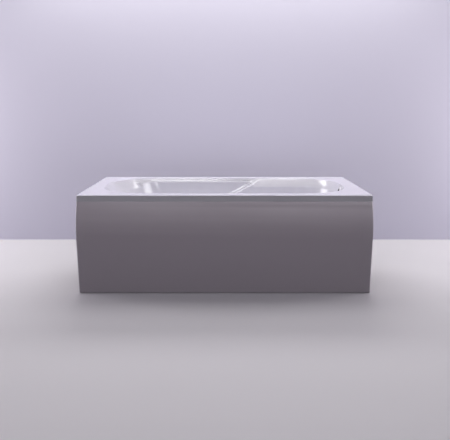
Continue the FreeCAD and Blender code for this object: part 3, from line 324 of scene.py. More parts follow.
def cut_with(piece, cutter):
    """Takes the cutter's shape out of a piece and removes the cutter."""
    change = piece.modifiers.new("cut", "BOOLEAN")
    change.object = cutter
    change.solver = "EXACT"
    bpy.context.view_layer.objects.active = piece
    bpy.ops.object.modifier_apply(modifier="cut")
    bpy.data.objects.remove(cutter)


foot_tilt = math.atan((wall_deck["foot"] - wall_floor["foot"]) / rise)
bpy.ops.mesh.primitive_cylinder_add(vertices=64, radius=overflow_hole, depth=0.05,
                                    location=(0.742, middle, overflow_z),
                                    rotation=(0, math.pi / 2 + foot_tilt, 0))
cut_with(shell, bpy.context.object)
bpy.ops.object.shade_smooth_by_angle(angle=math.radians(40))
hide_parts("tub_shell")
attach(shell, "bath")

# ---------------------------------------------------------------- front panel
# One vacuum-formed sheet of acrylic-faced plastic, with its edges turned back. It hangs
# behind the rim's lip on three clips and is screwed to two brackets near the floor.

# Drawn warm over the mould, the sheet keeps a slight peel, so its gloss is soft and broad.
satin = blank("acrylic_faced_panel")
place = add_node(satin, "TexCoord").outputs["Object"]
peel = add_node(satin, "TexNoise", {"Scale": 1 / 0.004, "Detail": 2.0}, {"Vector": place})
skin_bump = add_node(satin, "Bump", {"Strength": 0.05, "Distance": 0.0005},
                     {"Height": peel.outputs["Fac"]})
face = add_node(satin, "BsdfPrincipled",
                {"Base Color": linear("#ddd4e0"), "Roughness": 0.46, "Specular IOR Level": 0.18,
                 "IOR": 1.49}, {"Normal": skin_bump.outputs["Normal"]})
add_node(satin, "OutputMaterial", {}, {"Surface": face.outputs["BSDF"]})


def finish(piece, material, body, slot, *names):
    """Smooths a piece, gives it its material and body, and hides the nodes it stands for."""
    bpy.ops.object.select_all(action="DESELECT")
    piece.select_set(True)
    bpy.context.view_layer.objects.active = piece
    bpy.ops.object.shade_smooth_by_angle(angle=math.radians(35))
    piece.data.materials.clear()
    piece.data.materials.append(material)
    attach(piece, body)
    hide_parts(*names)


def merged_copy(node_name, name):
    """A copy of a node's mesh with its loose triangles joined into whole faces."""
    piece = bpy.data.objects.new(name, nodes[node_name].data.copy())
    bpy.context.scene.collection.objects.link(piece)
    bpy.ops.object.select_all(action="DESELECT")
    piece.select_set(True)
    bpy.context.view_layer.objects.active = piece
    bpy.ops.object.mode_set(mode="EDIT")
    bpy.ops.mesh.select_all(action="SELECT")
    bpy.ops.mesh.remove_doubles(threshold=0.000005)
    bpy.ops.mesh.dissolve_limited(angle_limit=math.radians(0.05))
    bpy.ops.object.mode_set(mode="OBJECT")
    return piece


def soften(node_name, name, edge, material, body, slot):
    """Puts a merged copy, its sharp edges broken by a small radius, in a node's place."""
    piece = merged_copy(node_name, name)
    if edge:
        change = piece.modifiers.new("broken_edge", "BEVEL")
        change.width = edge
        change.segments = 3
        change.limit_method = "ANGLE"
        change.angle_limit = math.radians(50)
        bpy.ops.object.modifier_apply(modifier="broken_edge")
    finish(piece, material, body, slot, node_name)


# The top edge is bent back over a small radius, along the front and round both ends.
panel_top = 0.5438
top_round = 0.003
slack, front_strip, end_strip = 0.0002, 0.006, 0.0015
panel = merged_copy("front_panel", "formed_panel")
bpy.ops.object.mode_set(mode="EDIT")
bpy.ops.mesh.select_mode(type="EDGE")
bpy.ops.mesh.select_all(action="DESELECT")
bpy.ops.object.mode_set(mode="OBJECT")
for edge in panel.data.edges:
    ends = [panel.data.vertices[number].co for number in edge.vertices]
    edge.select = all(end.z > panel_top - slack and (end.y < rim_low.y + front_strip
                                                     or abs(end.x) > rim_high.x - end_strip)
                      for end in ends)
bpy.ops.object.mode_set(mode="EDIT")
bpy.ops.mesh.bevel(offset=top_round, segments=5)
bpy.ops.object.mode_set(mode="OBJECT")
finish(panel, satin, "bath", "panel_acrylic", "front_panel")

# ---------------------------------------------------------------- base board
# Three-layer chipboard, sawn to size and bonded under the basin with the glass fibre. The
# leg frames are screwed up into it.

# Pale and dark chips about 6 mm long lie flat in the face, dry, rough and quite matt.
chipboard = blank("sawn_chipboard")
place = add_node(chipboard, "TexCoord").outputs["Object"]
chips = add_node(chipboard, "TexVoronoi", {"Scale": 1 / 0.006}, {"Vector": place})
dust = add_node(chipboard, "TexNoise", {"Scale": 1 / 0.0015, "Detail": 3.0}, {"Vector": place})
chip_tone = add_node(chipboard, "Mix",
                     {"data_type": "RGBA", 6: linear("#94713f"), 7: linear("#dcbd8a")},
                     {0: chips.outputs["Color"]})
flecked = add_node(chipboard, "Mix", {"data_type": "RGBA", 7: linear("#c9a56c")},
                   {0: dust.outputs["Fac"], 6: chip_tone.outputs[2]})
torn = add_node(chipboard, "Bump", {"Strength": 0.5, "Distance": 0.0006},
                {"Height": dust.outputs["Fac"]})
board = add_node(chipboard, "BsdfPrincipled", {"Roughness": 0.8, "IOR": 1.45},
                 {"Base Color": flecked.outputs[2], "Normal": torn.outputs["Normal"]})
add_node(chipboard, "OutputMaterial", {}, {"Surface": board.outputs["BSDF"]})
soften("base_board", "bonded_board", 0.0006, chipboard, "bath", "particle_board")

# ---------------------------------------------------------------- rim battens
# Planed softwood, 44 by 30 mm, glued and stapled under the rim's four sides while the glass
# fibre is wet. The clips and wall brackets are screwed up into it. Grain follows the length.


def pine(name, size_x, size_y, size_z):
    """Planed pine, honey and straw in fine lines, drawn out along the axis of largest size."""
    wood = blank(name)
    place = add_node(wood, "TexCoord").outputs["Object"]
    drawn = add_node(wood, "Mapping", {"Scale": (1 / size_x, 1 / size_y, 1 / size_z)},
                     {"Vector": place})
    fibres = add_node(wood, "TexNoise", {"Scale": 1.0, "Detail": 6.0},
                      {"Vector": drawn.outputs["Vector"]})
    rings = add_node(wood, "TexNoise", {"Scale": 0.22, "Detail": 1.0},
                     {"Vector": drawn.outputs["Vector"]})
    pale = add_node(wood, "Mix",
                    {"data_type": "RGBA", 6: linear("#c3935a"), 7: linear("#f0d6a6")},
                    {0: fibres.outputs["Fac"]})
    tone = add_node(wood, "Mix", {"data_type": "RGBA", 7: linear("#dcb681")},
                    {0: rings.outputs["Fac"], 6: pale.outputs[2]})
    ridges = add_node(wood, "Bump", {"Strength": 0.35, "Distance": 0.0004},
                      {"Height": fibres.outputs["Fac"]})
    planed = add_node(wood, "BsdfPrincipled", {"Roughness": 0.62, "IOR": 1.45},
                      {"Base Color": tone.outputs[2], "Normal": ridges.outputs["Normal"]})
    add_node(wood, "OutputMaterial", {}, {"Surface": planed.outputs["BSDF"]})
    return wood


grain_long, grain_wide = 0.150, 0.0035
pine_long = pine("planed_pine_long", grain_long, grain_wide, grain_wide)
pine_short = pine("planed_pine_short", grain_wide, grain_long, grain_wide)
for side, wood in (("front", pine_long), ("back", pine_long),
                   ("head", pine_short), ("foot", pine_short)):
    soften("rim_batten_" + side, "batten_" + side, 0.0015, wood, "bath", "timber")

# ---------------------------------------------------------------- steel frames and brackets
# Strip and channel of hot-dip galvanised steel, punched and folded cold. The zinc freezes in
# flat crystals about 9 mm across, each of which reflects a little differently.
galvanised = blank("hot_dip_galvanised_steel")
place = add_node(galvanised, "TexCoord").outputs["Object"]
spangle = add_node(galvanised, "TexVoronoi", {"Scale": 1 / 0.009}, {"Vector": place})
frost = add_node(galvanised, "TexNoise", {"Scale": 1 / 0.002, "Detail": 4.0}, {"Vector": place})
zinc_tone = add_node(galvanised, "Mix",
                     {"data_type": "RGBA", 6: linear("#9ea3a6"), 7: linear("#c9cdd0")},
                     {0: spangle.outputs["Color"]})
dull = add_node(galvanised, "MapRange", {"To Min": 0.34, "To Max": 0.58},
                {"Value": spangle.outputs["Color"]})
crystal = add_node(galvanised, "Bump", {"Strength": 0.12, "Distance": 0.0004},
                   {"Height": frost.outputs["Fac"]})
steel = add_node(galvanised, "BsdfPrincipled", {"Metallic": 1.0},
                 {"Base Color": zinc_tone.outputs[2], "Roughness": dull.outputs["Result"],
                  "Normal": crystal.outputs["Normal"]})
add_node(galvanised, "OutputMaterial", {}, {"Surface": steel.outputs["BSDF"]})
for name in ("leg_frame_head", "leg_frame_foot", "panel_bracket_head", "panel_bracket_foot",
             "panel_clip_1", "panel_clip_2", "panel_clip_3", "wall_bracket_head",
             "wall_bracket_foot", "wall_bracket_back_head", "wall_bracket_back_foot"):
    soften(name, "steel_" + name, 0.0005, galvanised, "bath", "galvanised_steel")

# ---------------------------------------------------------------- screws and bolts
# Pan-head wood screws, 4.8 mm, of steel that is zinc plated and passivated clear, driven
# upwards with a cross driver. Two bolts with hex heads and nuts hold the panel's brackets.
head_radius, head_high, shank_radius = 0.0046, 0.003, 0.0024

# The clear film over the zinc shimmers between bluish and straw, brighter where it is thin.
zinc = blank("bright_zinc_plating")
place = add_node(zinc, "TexCoord").outputs["Object"]
film = add_node(zinc, "TexNoise", {"Scale": 1 / 0.003, "Detail": 3.0}, {"Vector": place})
rainbow = add_node(zinc, "Mix", {"data_type": "RGBA", 6: linear("#b9c0cc"), 7: linear("#d6d3c6")},
                   {0: film.outputs["Fac"]})
sheen = add_node(zinc, "MapRange", {"To Min": 0.20, "To Max": 0.36},
                 {"Value": film.outputs["Fac"]})
plated = add_node(zinc, "BsdfPrincipled", {"Metallic": 1.0},
                  {"Base Color": rainbow.outputs[2], "Roughness": sheen.outputs["Result"]})
add_node(zinc, "OutputMaterial", {}, {"Surface": plated.outputs["BSDF"]})


def wrap(name, columns, rows, spot, ring=False):
    """A grid wrapped round an axis: spot places each corner from its turn and its row."""
    bpy.ops.object.select_all(action="DESELECT")
    bpy.ops.mesh.primitive_grid_add(x_subdivisions=columns, y_subdivisions=rows, size=1)
    piece = bpy.context.object
    piece.name = name
    for vertex in piece.data.vertices:
        column = round((vertex.co.x + 0.5) * columns) % columns
        row = round((vertex.co.y + 0.5) * rows)
        vertex.co = spot(column / columns, row % rows if ring else row)
    bpy.ops.object.mode_set(mode="EDIT")
    bpy.ops.mesh.select_all(action="SELECT")
    bpy.ops.mesh.remove_doubles(threshold=0.000001)
    bpy.ops.mesh.normals_make_consistent(inside=False)
    bpy.ops.object.mode_set(mode="OBJECT")
    return piece


def polar(radius, turn, height):
    """A point at some radius, turned round the Z axis by a share of a whole turn."""
    angle = 2 * math.pi * turn
    return Vector((radius * math.cos(angle), radius * math.sin(angle), height))


def turned(name, profile, columns=48, ring=False):
    """A piece turned about the Z axis from (radius, height) pairs."""
    def spot(turn, row):
        radius, height = profile[row]
        return polar(radius, turn, height)
    return wrap(name, columns, len(profile) - (0 if ring else 1), spot, ring)


def wood_screw(name, grip):
    """A pan-head screw, its head below, with a pointed shank as long as grip."""
    piece = turned(name, [
        (0.0, -head_high), (0.0024, -head_high * 0.98), (0.0036, -head_high * 0.86),
        (0.0043, -head_high * 0.60), (head_radius, -head_high * 0.24), (head_radius, 0.0),
        (shank_radius, 0.0), (shank_radius, grip * 0.72), (0.0012, grip * 0.95), (0.0, grip)], 32)
    slot_long, slot_wide, slot_deep = 0.0046, 0.0010, 0.0034
    for long_x, long_y in ((slot_long, slot_wide), (slot_wide, slot_long)):
        bpy.ops.object.select_all(action="DESELECT")
        bpy.ops.mesh.primitive_cube_add(size=1, location=(0, 0, -head_high),
                                        scale=(long_x, long_y, slot_deep))
        cut_with(piece, bpy.context.object)
    return piece


screw = wood_screw("model_screw", 0.0150)
short_screw = wood_screw("model_short_screw", 0.0065)


def join(main, others):
    """Joins other objects to a main one, which keeps its name."""
    bpy.ops.object.select_all(action="DESELECT")
    for piece in (main, *others):
        piece.select_set(True)
    bpy.context.view_layer.objects.active = main
    bpy.ops.object.join()


def repeat(model, name, places, flip=False):
    """Copies of a model piece at many places, joined in one object at the origin."""
    copies = []
    for place in places:
        copy = bpy.data.objects.new(name, model.data.copy())
        bpy.context.scene.collection.objects.link(copy)
        turn = Matrix.Rotation(math.pi if flip else 0.0, 4, "X")
        copy.data.transform(Matrix.Translation(place) @ turn)
        copies.append(copy)
    if len(copies) > 1:
        join(copies[0], copies[1:])
    return copies[0]


frame_x = (-0.300, 0.400)
steel_thick, board_foot, batten_screw_z = 0.002, 0.134, 0.542
front_edge, back_edge = rim_low.y, rim_high.y
frame_places = [(x, middle + y, board_foot - steel_thick) for x in frame_x
                for y in (-0.105, -0.035, 0.035, 0.105)]
clip_in = 0.043
clip_places = [(x, front_edge + clip_in, batten_screw_z) for x in (-0.620, 0.0, 0.620)]
wall_in, wall_pair = 0.030, (-0.018, 0.018)
wall_places = [(x + shift, back_edge - wall_in, batten_screw_z) for x in (-0.520, 0.520)
               for shift in wall_pair]
wall_places += [(x, middle + shift, batten_screw_z)
                for x in (rim_low.x + wall_in, rim_high.x - wall_in) for shift in wall_pair]
for name, node_name, places in (("frame_screws", "leg_frame_screws", frame_places),
                                ("clip_screws", "panel_clip_screws", clip_places),
                                ("wall_screws", "wall_bracket_screws", wall_places)):
    finish(repeat(screw, name, places), zinc, "bath", "zinc_fixings", node_name)


def hex_profile(flats, high, bore):
    """Rows of a nut or head: how far out each may reach, and its height."""
    corner = flats / 2 / math.cos(math.radians(30))
    lean, chamfer, face_reach = (corner - flats / 2) * 0.6, 0.0006, flats / 2 * 0.97
    if bore:
        inner = [(bore, high - chamfer), (bore, chamfer), (bore + chamfer, 0.0)]
        ends = [(bore + chamfer, high)]
    else:
        inner, ends = [(0.0, 0.0)], [(0.0, high)]
    return inner + [(face_reach, 0.0), (corner, lean), (corner, high - lean),
                    (face_reach, high)] + ends


def nut_of(name, flats, high, bore):
    """A hex nut or head with its corners turned off at both ends."""
    rows = hex_profile(flats, high, bore)

    def spot(turn, row):
        reach, height = rows[row]
        angle = 2 * math.pi * turn
        side = (angle + math.pi / 6) % (math.pi / 3) - math.pi / 6
        return polar(min(reach, flats / 2 / math.cos(side)), turn, height)
    return wrap(name, 72, len(rows) - (0 if bore else 1), spot, bool(bore))


frame_half, bolt_in = 0.325, 0.015
bolt_y = middle - frame_half + bolt_in
bolt_head = nut_of("model_bolt_head", 0.0079, head_high, 0)
heads = repeat(bolt_head, "bracket_bolts", [(x, bolt_y, board_foot + 0.003) for x in frame_x]
               + [(x, bolt_y, board_foot - 0.005) for x in frame_x])
shank = turned("model_bolt_shank", [(0.0, -0.0018), (shank_radius, -0.0018),
                                    (shank_radius, 0.0030), (0.0, 0.0030)], 32)
shanks = repeat(shank, "bolt_shanks", [(x, bolt_y, board_foot) for x in frame_x])
toe_in, toe_z = 0.025, 0.011
toe_places = [(x + shift, front_edge + toe_in, toe_z) for x in frame_x
              for shift in (-0.0075, 0.0075)]
toe_screws = repeat(short_screw, "toe_screws", toe_places, flip=True)
join(heads, [shanks, toe_screws])
finish(heads, zinc, "bath", "zinc_fixings", "panel_bracket_fixings")

# ---------------------------------------------------------------- levelling feet
# Stems are M12 rod, rolled thread, zinc plated, each held by two cold-headed hex nuts. They
# stand in pads of black moulded plastic with ribs on top and rings below against slipping.
foot_spots = {end + "_" + side: (x, middle + y) for end, x in zip(("head", "foot"), frame_x)
              for side, y in (("front", -0.270), ("back", 0.270))}
nut_flats, nut_high, nut_bore = 0.019, 0.009, 0.00605
for name, seat in (("foot_nuts_upper", board_foot),
                   ("foot_nuts_lower", board_foot - nut_high - steel_thick)):
    model = nut_of("model_" + name, nut_flats, nut_high, nut_bore)
    finish(repeat(model, "levelling_" + name, [(x, y, seat) for x, y in foot_spots.values()]),
           zinc, "bath", "zinc_fixings", name)
    bpy.data.objects.remove(model)


def threaded_rod(name, radius, low, high, pitch):
    """A rod with a true helical thread: the groove's depth follows height and turn."""
    rows_per_turn, groove_deep, taper_deep, taper_long = 5, 0.0010, 0.0014, 0.0015
    steps = round((high - low) / pitch * rows_per_turn)
    heights = [low] + [low + (high - low) * step / steps for step in range(steps + 1)] + [high]

    def spot(turn, row):
        height = heights[row]
        if row in (0, len(heights) - 1):
            return Vector((0, 0, height))
        full = min(height - low, high - height, taper_long) / taper_long
        groove = abs(2 * ((height / pitch - turn) % 1) - 1)
        return polar(radius - groove_deep * groove - taper_deep * (1 - full), turn, height)
    return wrap(name, 24, len(heights) - 1, spot)


def moulded(name, dark, pale, rough, grain):
    """Moulded plastic or rubber: an even fine grain and a colour that hardly changes."""
    plastic = blank(name)
    place = add_node(plastic, "TexCoord").outputs["Object"]
    cloud = add_node(plastic, "TexNoise", {"Scale": 1 / 0.012, "Detail": 3.0}, {"Vector": place})
    fine = add_node(plastic, "TexNoise", {"Scale": 1 / grain}, {"Vector": place})
    tone = add_node(plastic, "Mix", {"data_type": "RGBA", 6: linear(dark), 7: linear(pale)},
                    {0: cloud.outputs["Fac"]})
    sparked = add_node(plastic, "Bump", {"Strength": 0.25, "Distance": 0.0002},
                       {"Height": fine.outputs["Fac"]})
    body = add_node(plastic, "BsdfPrincipled", {"Roughness": rough, "IOR": 1.49},
                    {"Base Color": tone.outputs[2], "Normal": sparked.outputs["Normal"]})
    add_node(plastic, "OutputMaterial", {}, {"Surface": body.outputs["BSDF"]})
    return plastic


# The pads are satin black, with the fine grain of their mould.
pad_plastic = moulded("black_foot_plastic", "#101012", "#1d1d20", 0.5, 0.0006)
pad_rows = [(0.0, 0.0008), (0.0080, 0.0008), (0.0086, 0.0), (0.0120, 0.0), (0.0126, 0.0008),
            (0.0170, 0.0008), (0.0176, 0.0), (0.0244, 0.0), (0.0250, 0.0006), (0.0250, 0.0040),
            (0.0243, 0.0050), (0.0200, 0.0082), (0.0150, 0.0122), (0.0114, 0.0150),
            (0.0107, 0.0172), (0.0100, 0.0180), (0.0061, 0.0180), (0.0061, 0.0060), (0.0, 0.0060)]
pad_ribs, pad_rib_deep, ribbed_rows = 12, 0.0030, (11, 12, 13)


def between_ribs(turn, ribs, low, high):
    """0 on each rib and 1 between two ribs, with a smooth rise from low to high."""
    return ease(low, high, 0.5 - 0.5 * math.cos(ribs * (2 * math.pi * turn)))


def pad_spot(turn, row):
    """The pad's corner at one turn and row, lower between its ribs."""
    radius, height = pad_rows[row]
    if row in ribbed_rows:
        height -= pad_rib_deep * between_ribs(turn, pad_ribs, 0.25, 0.65)
    return polar(radius, turn, height)


stem_radius, stem_foot, stem_top, stem_pitch = 0.006, 0.006, 0.182, 0.00175
stem = threaded_rod("model_stem", stem_radius, stem_foot, stem_top, stem_pitch)
pad = wrap("model_pad", 120, len(pad_rows) - 1, pad_spot)
for name, (x, y) in foot_spots.items():
    finish(repeat(stem, "stem_" + name, [(x, y, 0)]), zinc, "foot_" + name, "zinc_fixings",
           "foot_stem_" + name)
    finish(repeat(pad, "pad_" + name, [(x, y, 0)]), pad_plastic, "foot_" + name,
           "foot_plastic", "foot_pad_" + name)

# ---------------------------------------------------------------- waste fitting
# The flange with its threaded tube and the click cap are cast brass, polished and chrome
# plated. The cap's stem is turned brass and slides in a moulded cartridge. EPDM gaskets seal
# the flange against the shell, and a ring of the same rubber closes under the cap.
to_waste = Matrix.Translation((waste.x, middle, 0))

# Chrome plate mirrors the room, a little duller where it has been wiped.
chrome = blank("polished_chrome_plate")
place = add_node(chrome, "TexCoord").outputs["Object"]
touch = add_node(chrome, "TexNoise", {"Scale": 1 / 0.018, "Detail": 3.0}, {"Vector": place})
wiped = add_node(chrome, "MapRange", {"To Min": 0.04, "To Max": 0.11},
                 {"Value": touch.outputs["Fac"]})
plate = add_node(chrome, "BsdfPrincipled", {"Base Color": linear("#d3d6db"), "Metallic": 1.0},
                 {"Roughness": wiped.outputs["Result"]})
add_node(chrome, "OutputMaterial", {}, {"Surface": plate.outputs["BSDF"]})

# Turned brass is yellow and bright, with the tool's fine rings round it.
brass = blank("turned_brass")
place = add_node(brass, "TexCoord").outputs["Object"]
tool_marks = add_node(brass, "TexWave",
                      {"bands_direction": "Z", "Scale": 1 / 0.0035, "Distortion": 0.6},
                      {"Vector": place})
worked = add_node(brass, "Mix", {"data_type": "RGBA", 6: linear("#b98f45"), 7: linear("#d3ad63")},
                  {0: tool_marks.outputs["Fac"]})
turned_skin = add_node(brass, "Bump", {"Strength": 0.2, "Distance": 0.0002},
                       {"Height": tool_marks.outputs["Fac"]})
alloy = add_node(brass, "BsdfPrincipled", {"Metallic": 1.0, "Roughness": 0.24},
                 {"Base Color": worked.outputs[2], "Normal": turned_skin.outputs["Normal"]})
add_node(brass, "OutputMaterial", {}, {"Surface": alloy.outputs["BSDF"]})

# EPDM is a dull, deep black. Polypropylene is milky white, with a low waxy gloss.
rubber = moulded("black_epdm_rubber", "#0e0e0f", "#1a1a1b", 0.72, 0.0009)
white_plastic = moulded("white_polypropylene", "#dadad6", "#e6e6e2", 0.38, 0.0007)

thread, thread_foot, thread_pitch = [], 0.1342, 0.002
for turn_number in range(10):
    ridge = thread_foot + thread_pitch * turn_number
    thread += [(0.0234, ridge), (0.0240, ridge + 0.0007), (0.0240, ridge + 0.0011),
               (0.0234, ridge + 0.0018)]
flange = turned("flange", [(0.021, 0.133), (0.0234, 0.133)] + thread + [
    (0.024, 0.1550), (0.024, 0.157), (0.0349, 0.157), (0.0350, 0.1573), (0.0348, 0.1579),
    (0.0342, 0.1585), (0.0330, 0.1590), (0.0312, 0.1594), (0.0290, 0.1595), (0.0222, 0.1595),
    (0.0215, 0.1593), (0.0210, 0.1587)], 96, ring=True)
cap = turned("cap", [
    (0.0, 0.161), (0.0304, 0.161), (0.0309, 0.1613), (0.0310, 0.1619), (0.0307, 0.1626),
    (0.0298, 0.1632), (0.0280, 0.1639), (0.0252, 0.1647), (0.0210, 0.1656), (0.0160, 0.1662),
    (0.0110, 0.1666), (0.0055, 0.1669), (0.0, 0.1670)], 96)
pin = turned("pin", [
    (0.0, 0.1230), (0.0032, 0.1230), (0.0040, 0.1238), (0.0040, 0.1280), (0.0034, 0.1284),
    (0.0034, 0.1300), (0.0040, 0.1304), (0.0040, 0.1610), (0.0, 0.1610)], 48)
cap_ring = turned("cap_ring", [
    (0.0220, 0.1597), (0.0223, 0.1595), (0.0266, 0.1595), (0.0270, 0.1598), (0.0266, 0.1602),
    (0.0269, 0.1606), (0.0269, 0.1610), (0.0220, 0.1610)], 96, ring=True)
for piece, material, slot, name, body in (
        (flange, chrome, "chrome_trim", "waste_flange", "bath"),
        (cap, chrome, "chrome_trim", "plug_cap", "waste_plug"),
        (pin, brass, "plug_brass", "plug_stem", "waste_plug"),
        (cap_ring, rubber, "seal_rubber", "plug_seal", "waste_plug")):
    piece.data.transform(to_waste)
    finish(piece, material, body, slot, name)
gasket = turned("model_gasket", [
    (0.02405, 0.0002), (0.02425, 0.0), (0.0336, 0.0), (0.0340, 0.0004), (0.0338, 0.0010),
    (0.0340, 0.0016), (0.0336, 0.0020), (0.02425, 0.0020), (0.02405, 0.0018)], 96, ring=True)
for name, low in (("waste_gasket_upper", 0.155), ("waste_gasket_lower", 0.147)):
    finish(repeat(gasket, "ring_" + name, [(waste.x, middle, low)]), rubber, "bath",
           "seal_rubber", name)
for name in ("waste_body", "waste_cartridge"):
    soften(name, "moulded_" + name, 0.0004, white_plastic, "bath", "pipe_plastic")

# Ten webs stiffen the cup of the waste body. Each narrows towards its foot.
webs, web_count, web_z, web_toe = [], 10, 0.133, 0.0285
for number in range(web_count):
    angle = 2 * math.pi * (number + 0.5) / web_count
    bpy.ops.object.select_all(action="DESELECT")
    bpy.ops.mesh.primitive_cube_add(size=1, location=(0.0311, 0, web_z),
                                    scale=(0.0074, 0.0022, 0.0120))
    bpy.ops.object.transform_apply(location=True, rotation=True, scale=True)
    web = bpy.context.object
    for vertex in web.data.vertices:
        if vertex.co.x > 0.031 and vertex.co.z < web_z:
            vertex.co.x = web_toe
    web.data.transform(to_waste @ Matrix.Rotation(angle, 4, "Z"))
    webs.append(web)
join(webs[-1], webs[:-1])
webs[-1].name = "cup_webs"
finish(webs[-1], white_plastic, "bath", "pipe_plastic", "waste_body")

# ---------------------------------------------------------------- trap
# A white polypropylene trap, moulded in one, with union nuts whose ribs give the hand a grip.
# The knob at the bottom screws out to clean it.
soften("trap_body", "moulded_trap", 0.0, white_plastic, "bath", "pipe_plastic")


def grip_nut(name, bore, outer, high, ribs):
    """A union nut with rounded ends and ribs all round."""
    rib_deep, ribbed = 0.0016, (2, 3, 4, 5)
    rows = [(bore, 0.0), (outer - 0.0024, 0.0), (outer - 0.0007, 0.0007), (outer, 0.0020),
            (outer, high - 0.0020), (outer - 0.0007, high - 0.0007), (outer - 0.0024, high),
            (bore, high)]

    def spot(turn, row):
        radius, height = rows[row]
        if row in ribbed:
            radius -= rib_deep * between_ribs(turn, ribs, 0.2, 0.8)
        return polar(radius, turn, height)
    return wrap(name, ribs * 8, len(rows), spot, ring=True)


lay_along = Matrix.Rotation(math.pi / 2, 4, "Y")
inlet_foot, outlet_x, outlet_z = 0.068, 0.638, 0.074
nut = grip_nut("inlet_nut", 0.02005, 0.027, 0.018, 18)
nut.data.transform(Matrix.Translation((waste.x, middle, inlet_foot)))
finish(nut, white_plastic, "bath", "pipe_plastic", "trap_inlet_nut")
nut = grip_nut("outlet_nut", 0.02155, 0.0285, 0.018, 18)
nut.data.transform(Matrix.Translation((outlet_x, middle, outlet_z)) @ lay_along)
finish(nut, white_plastic, "bath", "pipe_plastic", "trap_outlet_nut")
knob_rows = [(0.0, 0.0120), (0.0150, 0.0120), (0.0168, 0.0125), (0.0170, 0.0132),
             (0.0170, 0.0155), (0.0166, 0.0160), (0.0, 0.0160)]
flutes, flute_deep, fluted_rows = 20, 0.0008, (2, 3, 4, 5)


def knob_spot(turn, row):
    """The knob's corner at one turn and row, with a fluted edge."""
    radius, height = knob_rows[row]
    if row in fluted_rows:
        radius -= flute_deep * between_ribs(turn, flutes, 0.3, 0.7)
    return polar(radius, turn, height)


knob = wrap("knob", 160, len(knob_rows) - 1, knob_spot)
bpy.ops.object.select_all(action="DESELECT")
bpy.ops.mesh.primitive_cube_add(size=1, location=(0, 0, 0.0112), scale=(0.026, 0.005, 0.0024))
bpy.ops.object.transform_apply(location=True, rotation=True, scale=True)
bar = bpy.context.object
rounding = bar.modifiers.new("rounding", "BEVEL")
rounding.width, rounding.segments = 0.0009, 3
bpy.ops.object.modifier_apply(modifier="rounding")
join(knob, [bar])
knob.data.transform(to_waste)
finish(knob, white_plastic, "bath", "pipe_plastic", "trap_cleaning_cap")

# ---------------------------------------------------------------- overflow
# A gloss white moulded ring snaps through the wall into a black elbow behind it, with a
# rubber washer between. A ribbed black pipe runs down to the waste, held by two union nuts.

# The black parts have the low sheen of polypropylene. The ring's mould is polished, so it
# shines almost as the bath does.
black_plastic = moulded("black_polypropylene", "#0c0c0e", "#18181b", 0.42, 0.0007)
ring_plastic = moulded("gloss_white_trim", "#e9e8ee", "#f0eff4", 0.14, 0.0020)
outwards = (Matrix.Translation((0.74225, middle, overflow_z))
            @ Matrix.Rotation(math.pi / 2 + foot_tilt, 4, "Y"))
ring = turned("overflow_ring", [
    (0.0130, 0.0140), (0.0130, -0.0028), (0.0133, -0.0042), (0.0142, -0.0055),
    (0.0158, -0.0066), (0.0180, -0.0070), (0.0212, -0.0070), (0.0250, -0.0064),
    (0.0280, -0.0051), (0.0300, -0.0037), (0.0310, -0.0023), (0.0310, -0.0008),
    (0.0306, -0.0006), (0.0190, 0.0), (0.0169, 0.0), (0.0169, 0.0140)], 96, ring=True)
# Painted shade: the faces of the white ring's bore, inside this radius, take the black plastic so
# that the hole through it reads dark.
shade_painted_within = 0.0154
bore = [face.index for face in ring.data.polygons
        if Vector(face.center[:2]).length < shade_painted_within]
ring.data.transform(outwards)
finish(ring, ring_plastic, "bath", "trim_plastic", "overflow_rosette")
# The bore's faces get the black plastic, as painted shade in the hole.
ring.data.materials.append(black_plastic)
for number in bore:
    ring.data.polygons[number].material_index = 1
washer = turned("washer", [
    (0.0171, 0.0061), (0.0173, 0.00587), (0.0266, 0.00587), (0.0270, 0.0063), (0.0268, 0.0073),
    (0.0270, 0.0083), (0.0266, 0.00886), (0.0173, 0.00886), (0.0171, 0.0086)], 96, ring=True)
washer.data.transform(outwards)
finish(washer, rubber, "bath", "seal_rubber", "overflow_seal")
soften("overflow_elbow", "moulded_elbow", 0.0004, black_plastic, "bath", "overflow_plastic")
upright_x, level_z = 0.766, 0.120
nut = grip_nut("pipe_nuts", 0.01405, 0.021, 0.009, 14)
nut.data.transform(Matrix.Translation((upright_x, middle, 0.496)))
second = grip_nut("lower_nut", 0.01405, 0.021, 0.009, 14)
second.data.transform(Matrix.Translation((0.592, middle, level_z)) @ lay_along)
join(nut, [second])
finish(nut, black_plastic, "bath", "overflow_plastic", "overflow_nuts")

level_run, upright_run, bend, bend_z = 0.150, 0.357, 0.040, 0.160
bend_run = math.pi / 2 * bend
pipe_run = level_run + bend_run + upright_run
pipe_out, pipe_groove, pipe_bore, bore_cuts = 0.0140, 0.0124, 0.0115, 40
plain_start, plain_end, rib_pitch = 0.022, 0.028, 0.006
hose_rows = [(0.0, pipe_out), (plain_start, pipe_out)]
rib_start = plain_start
while rib_start < pipe_run - plain_end:
    hose_rows += [(rib_start + 0.0008, pipe_groove), (rib_start + 0.0028, pipe_groove),
                  (rib_start + 0.0036, pipe_out), (rib_start + rib_pitch, pipe_out)]
    rib_start += rib_pitch
hose_rows += [(pipe_run, pipe_out)]
hose_rows += [(pipe_run * (1 - step / bore_cuts), pipe_bore) for step in range(bore_cuts + 1)]


def hose_spot(turn, row):
    """A corner of the pipe: level, then one bend, then straight up."""
    run, radius = hose_rows[row]
    angle = 2 * math.pi * turn
    bent = min(max((run - level_run) / bend, 0.0), math.pi / 2)
    centre = Vector((0.576 + min(run, level_run) + bend * math.sin(bent), middle,
                     bend_z - bend * math.cos(bent) + max(run - level_run - bend_run, 0.0)))
    side = Vector((-math.sin(bent), 0, math.cos(bent)))
    return centre + side * (radius * math.cos(angle)) + Vector((0, radius * math.sin(angle), 0))


hose = wrap("ribbed_pipe", 32, len(hose_rows), hose_spot, ring=True)
finish(hose, black_plastic, "bath", "overflow_plastic", "overflow_pipe")

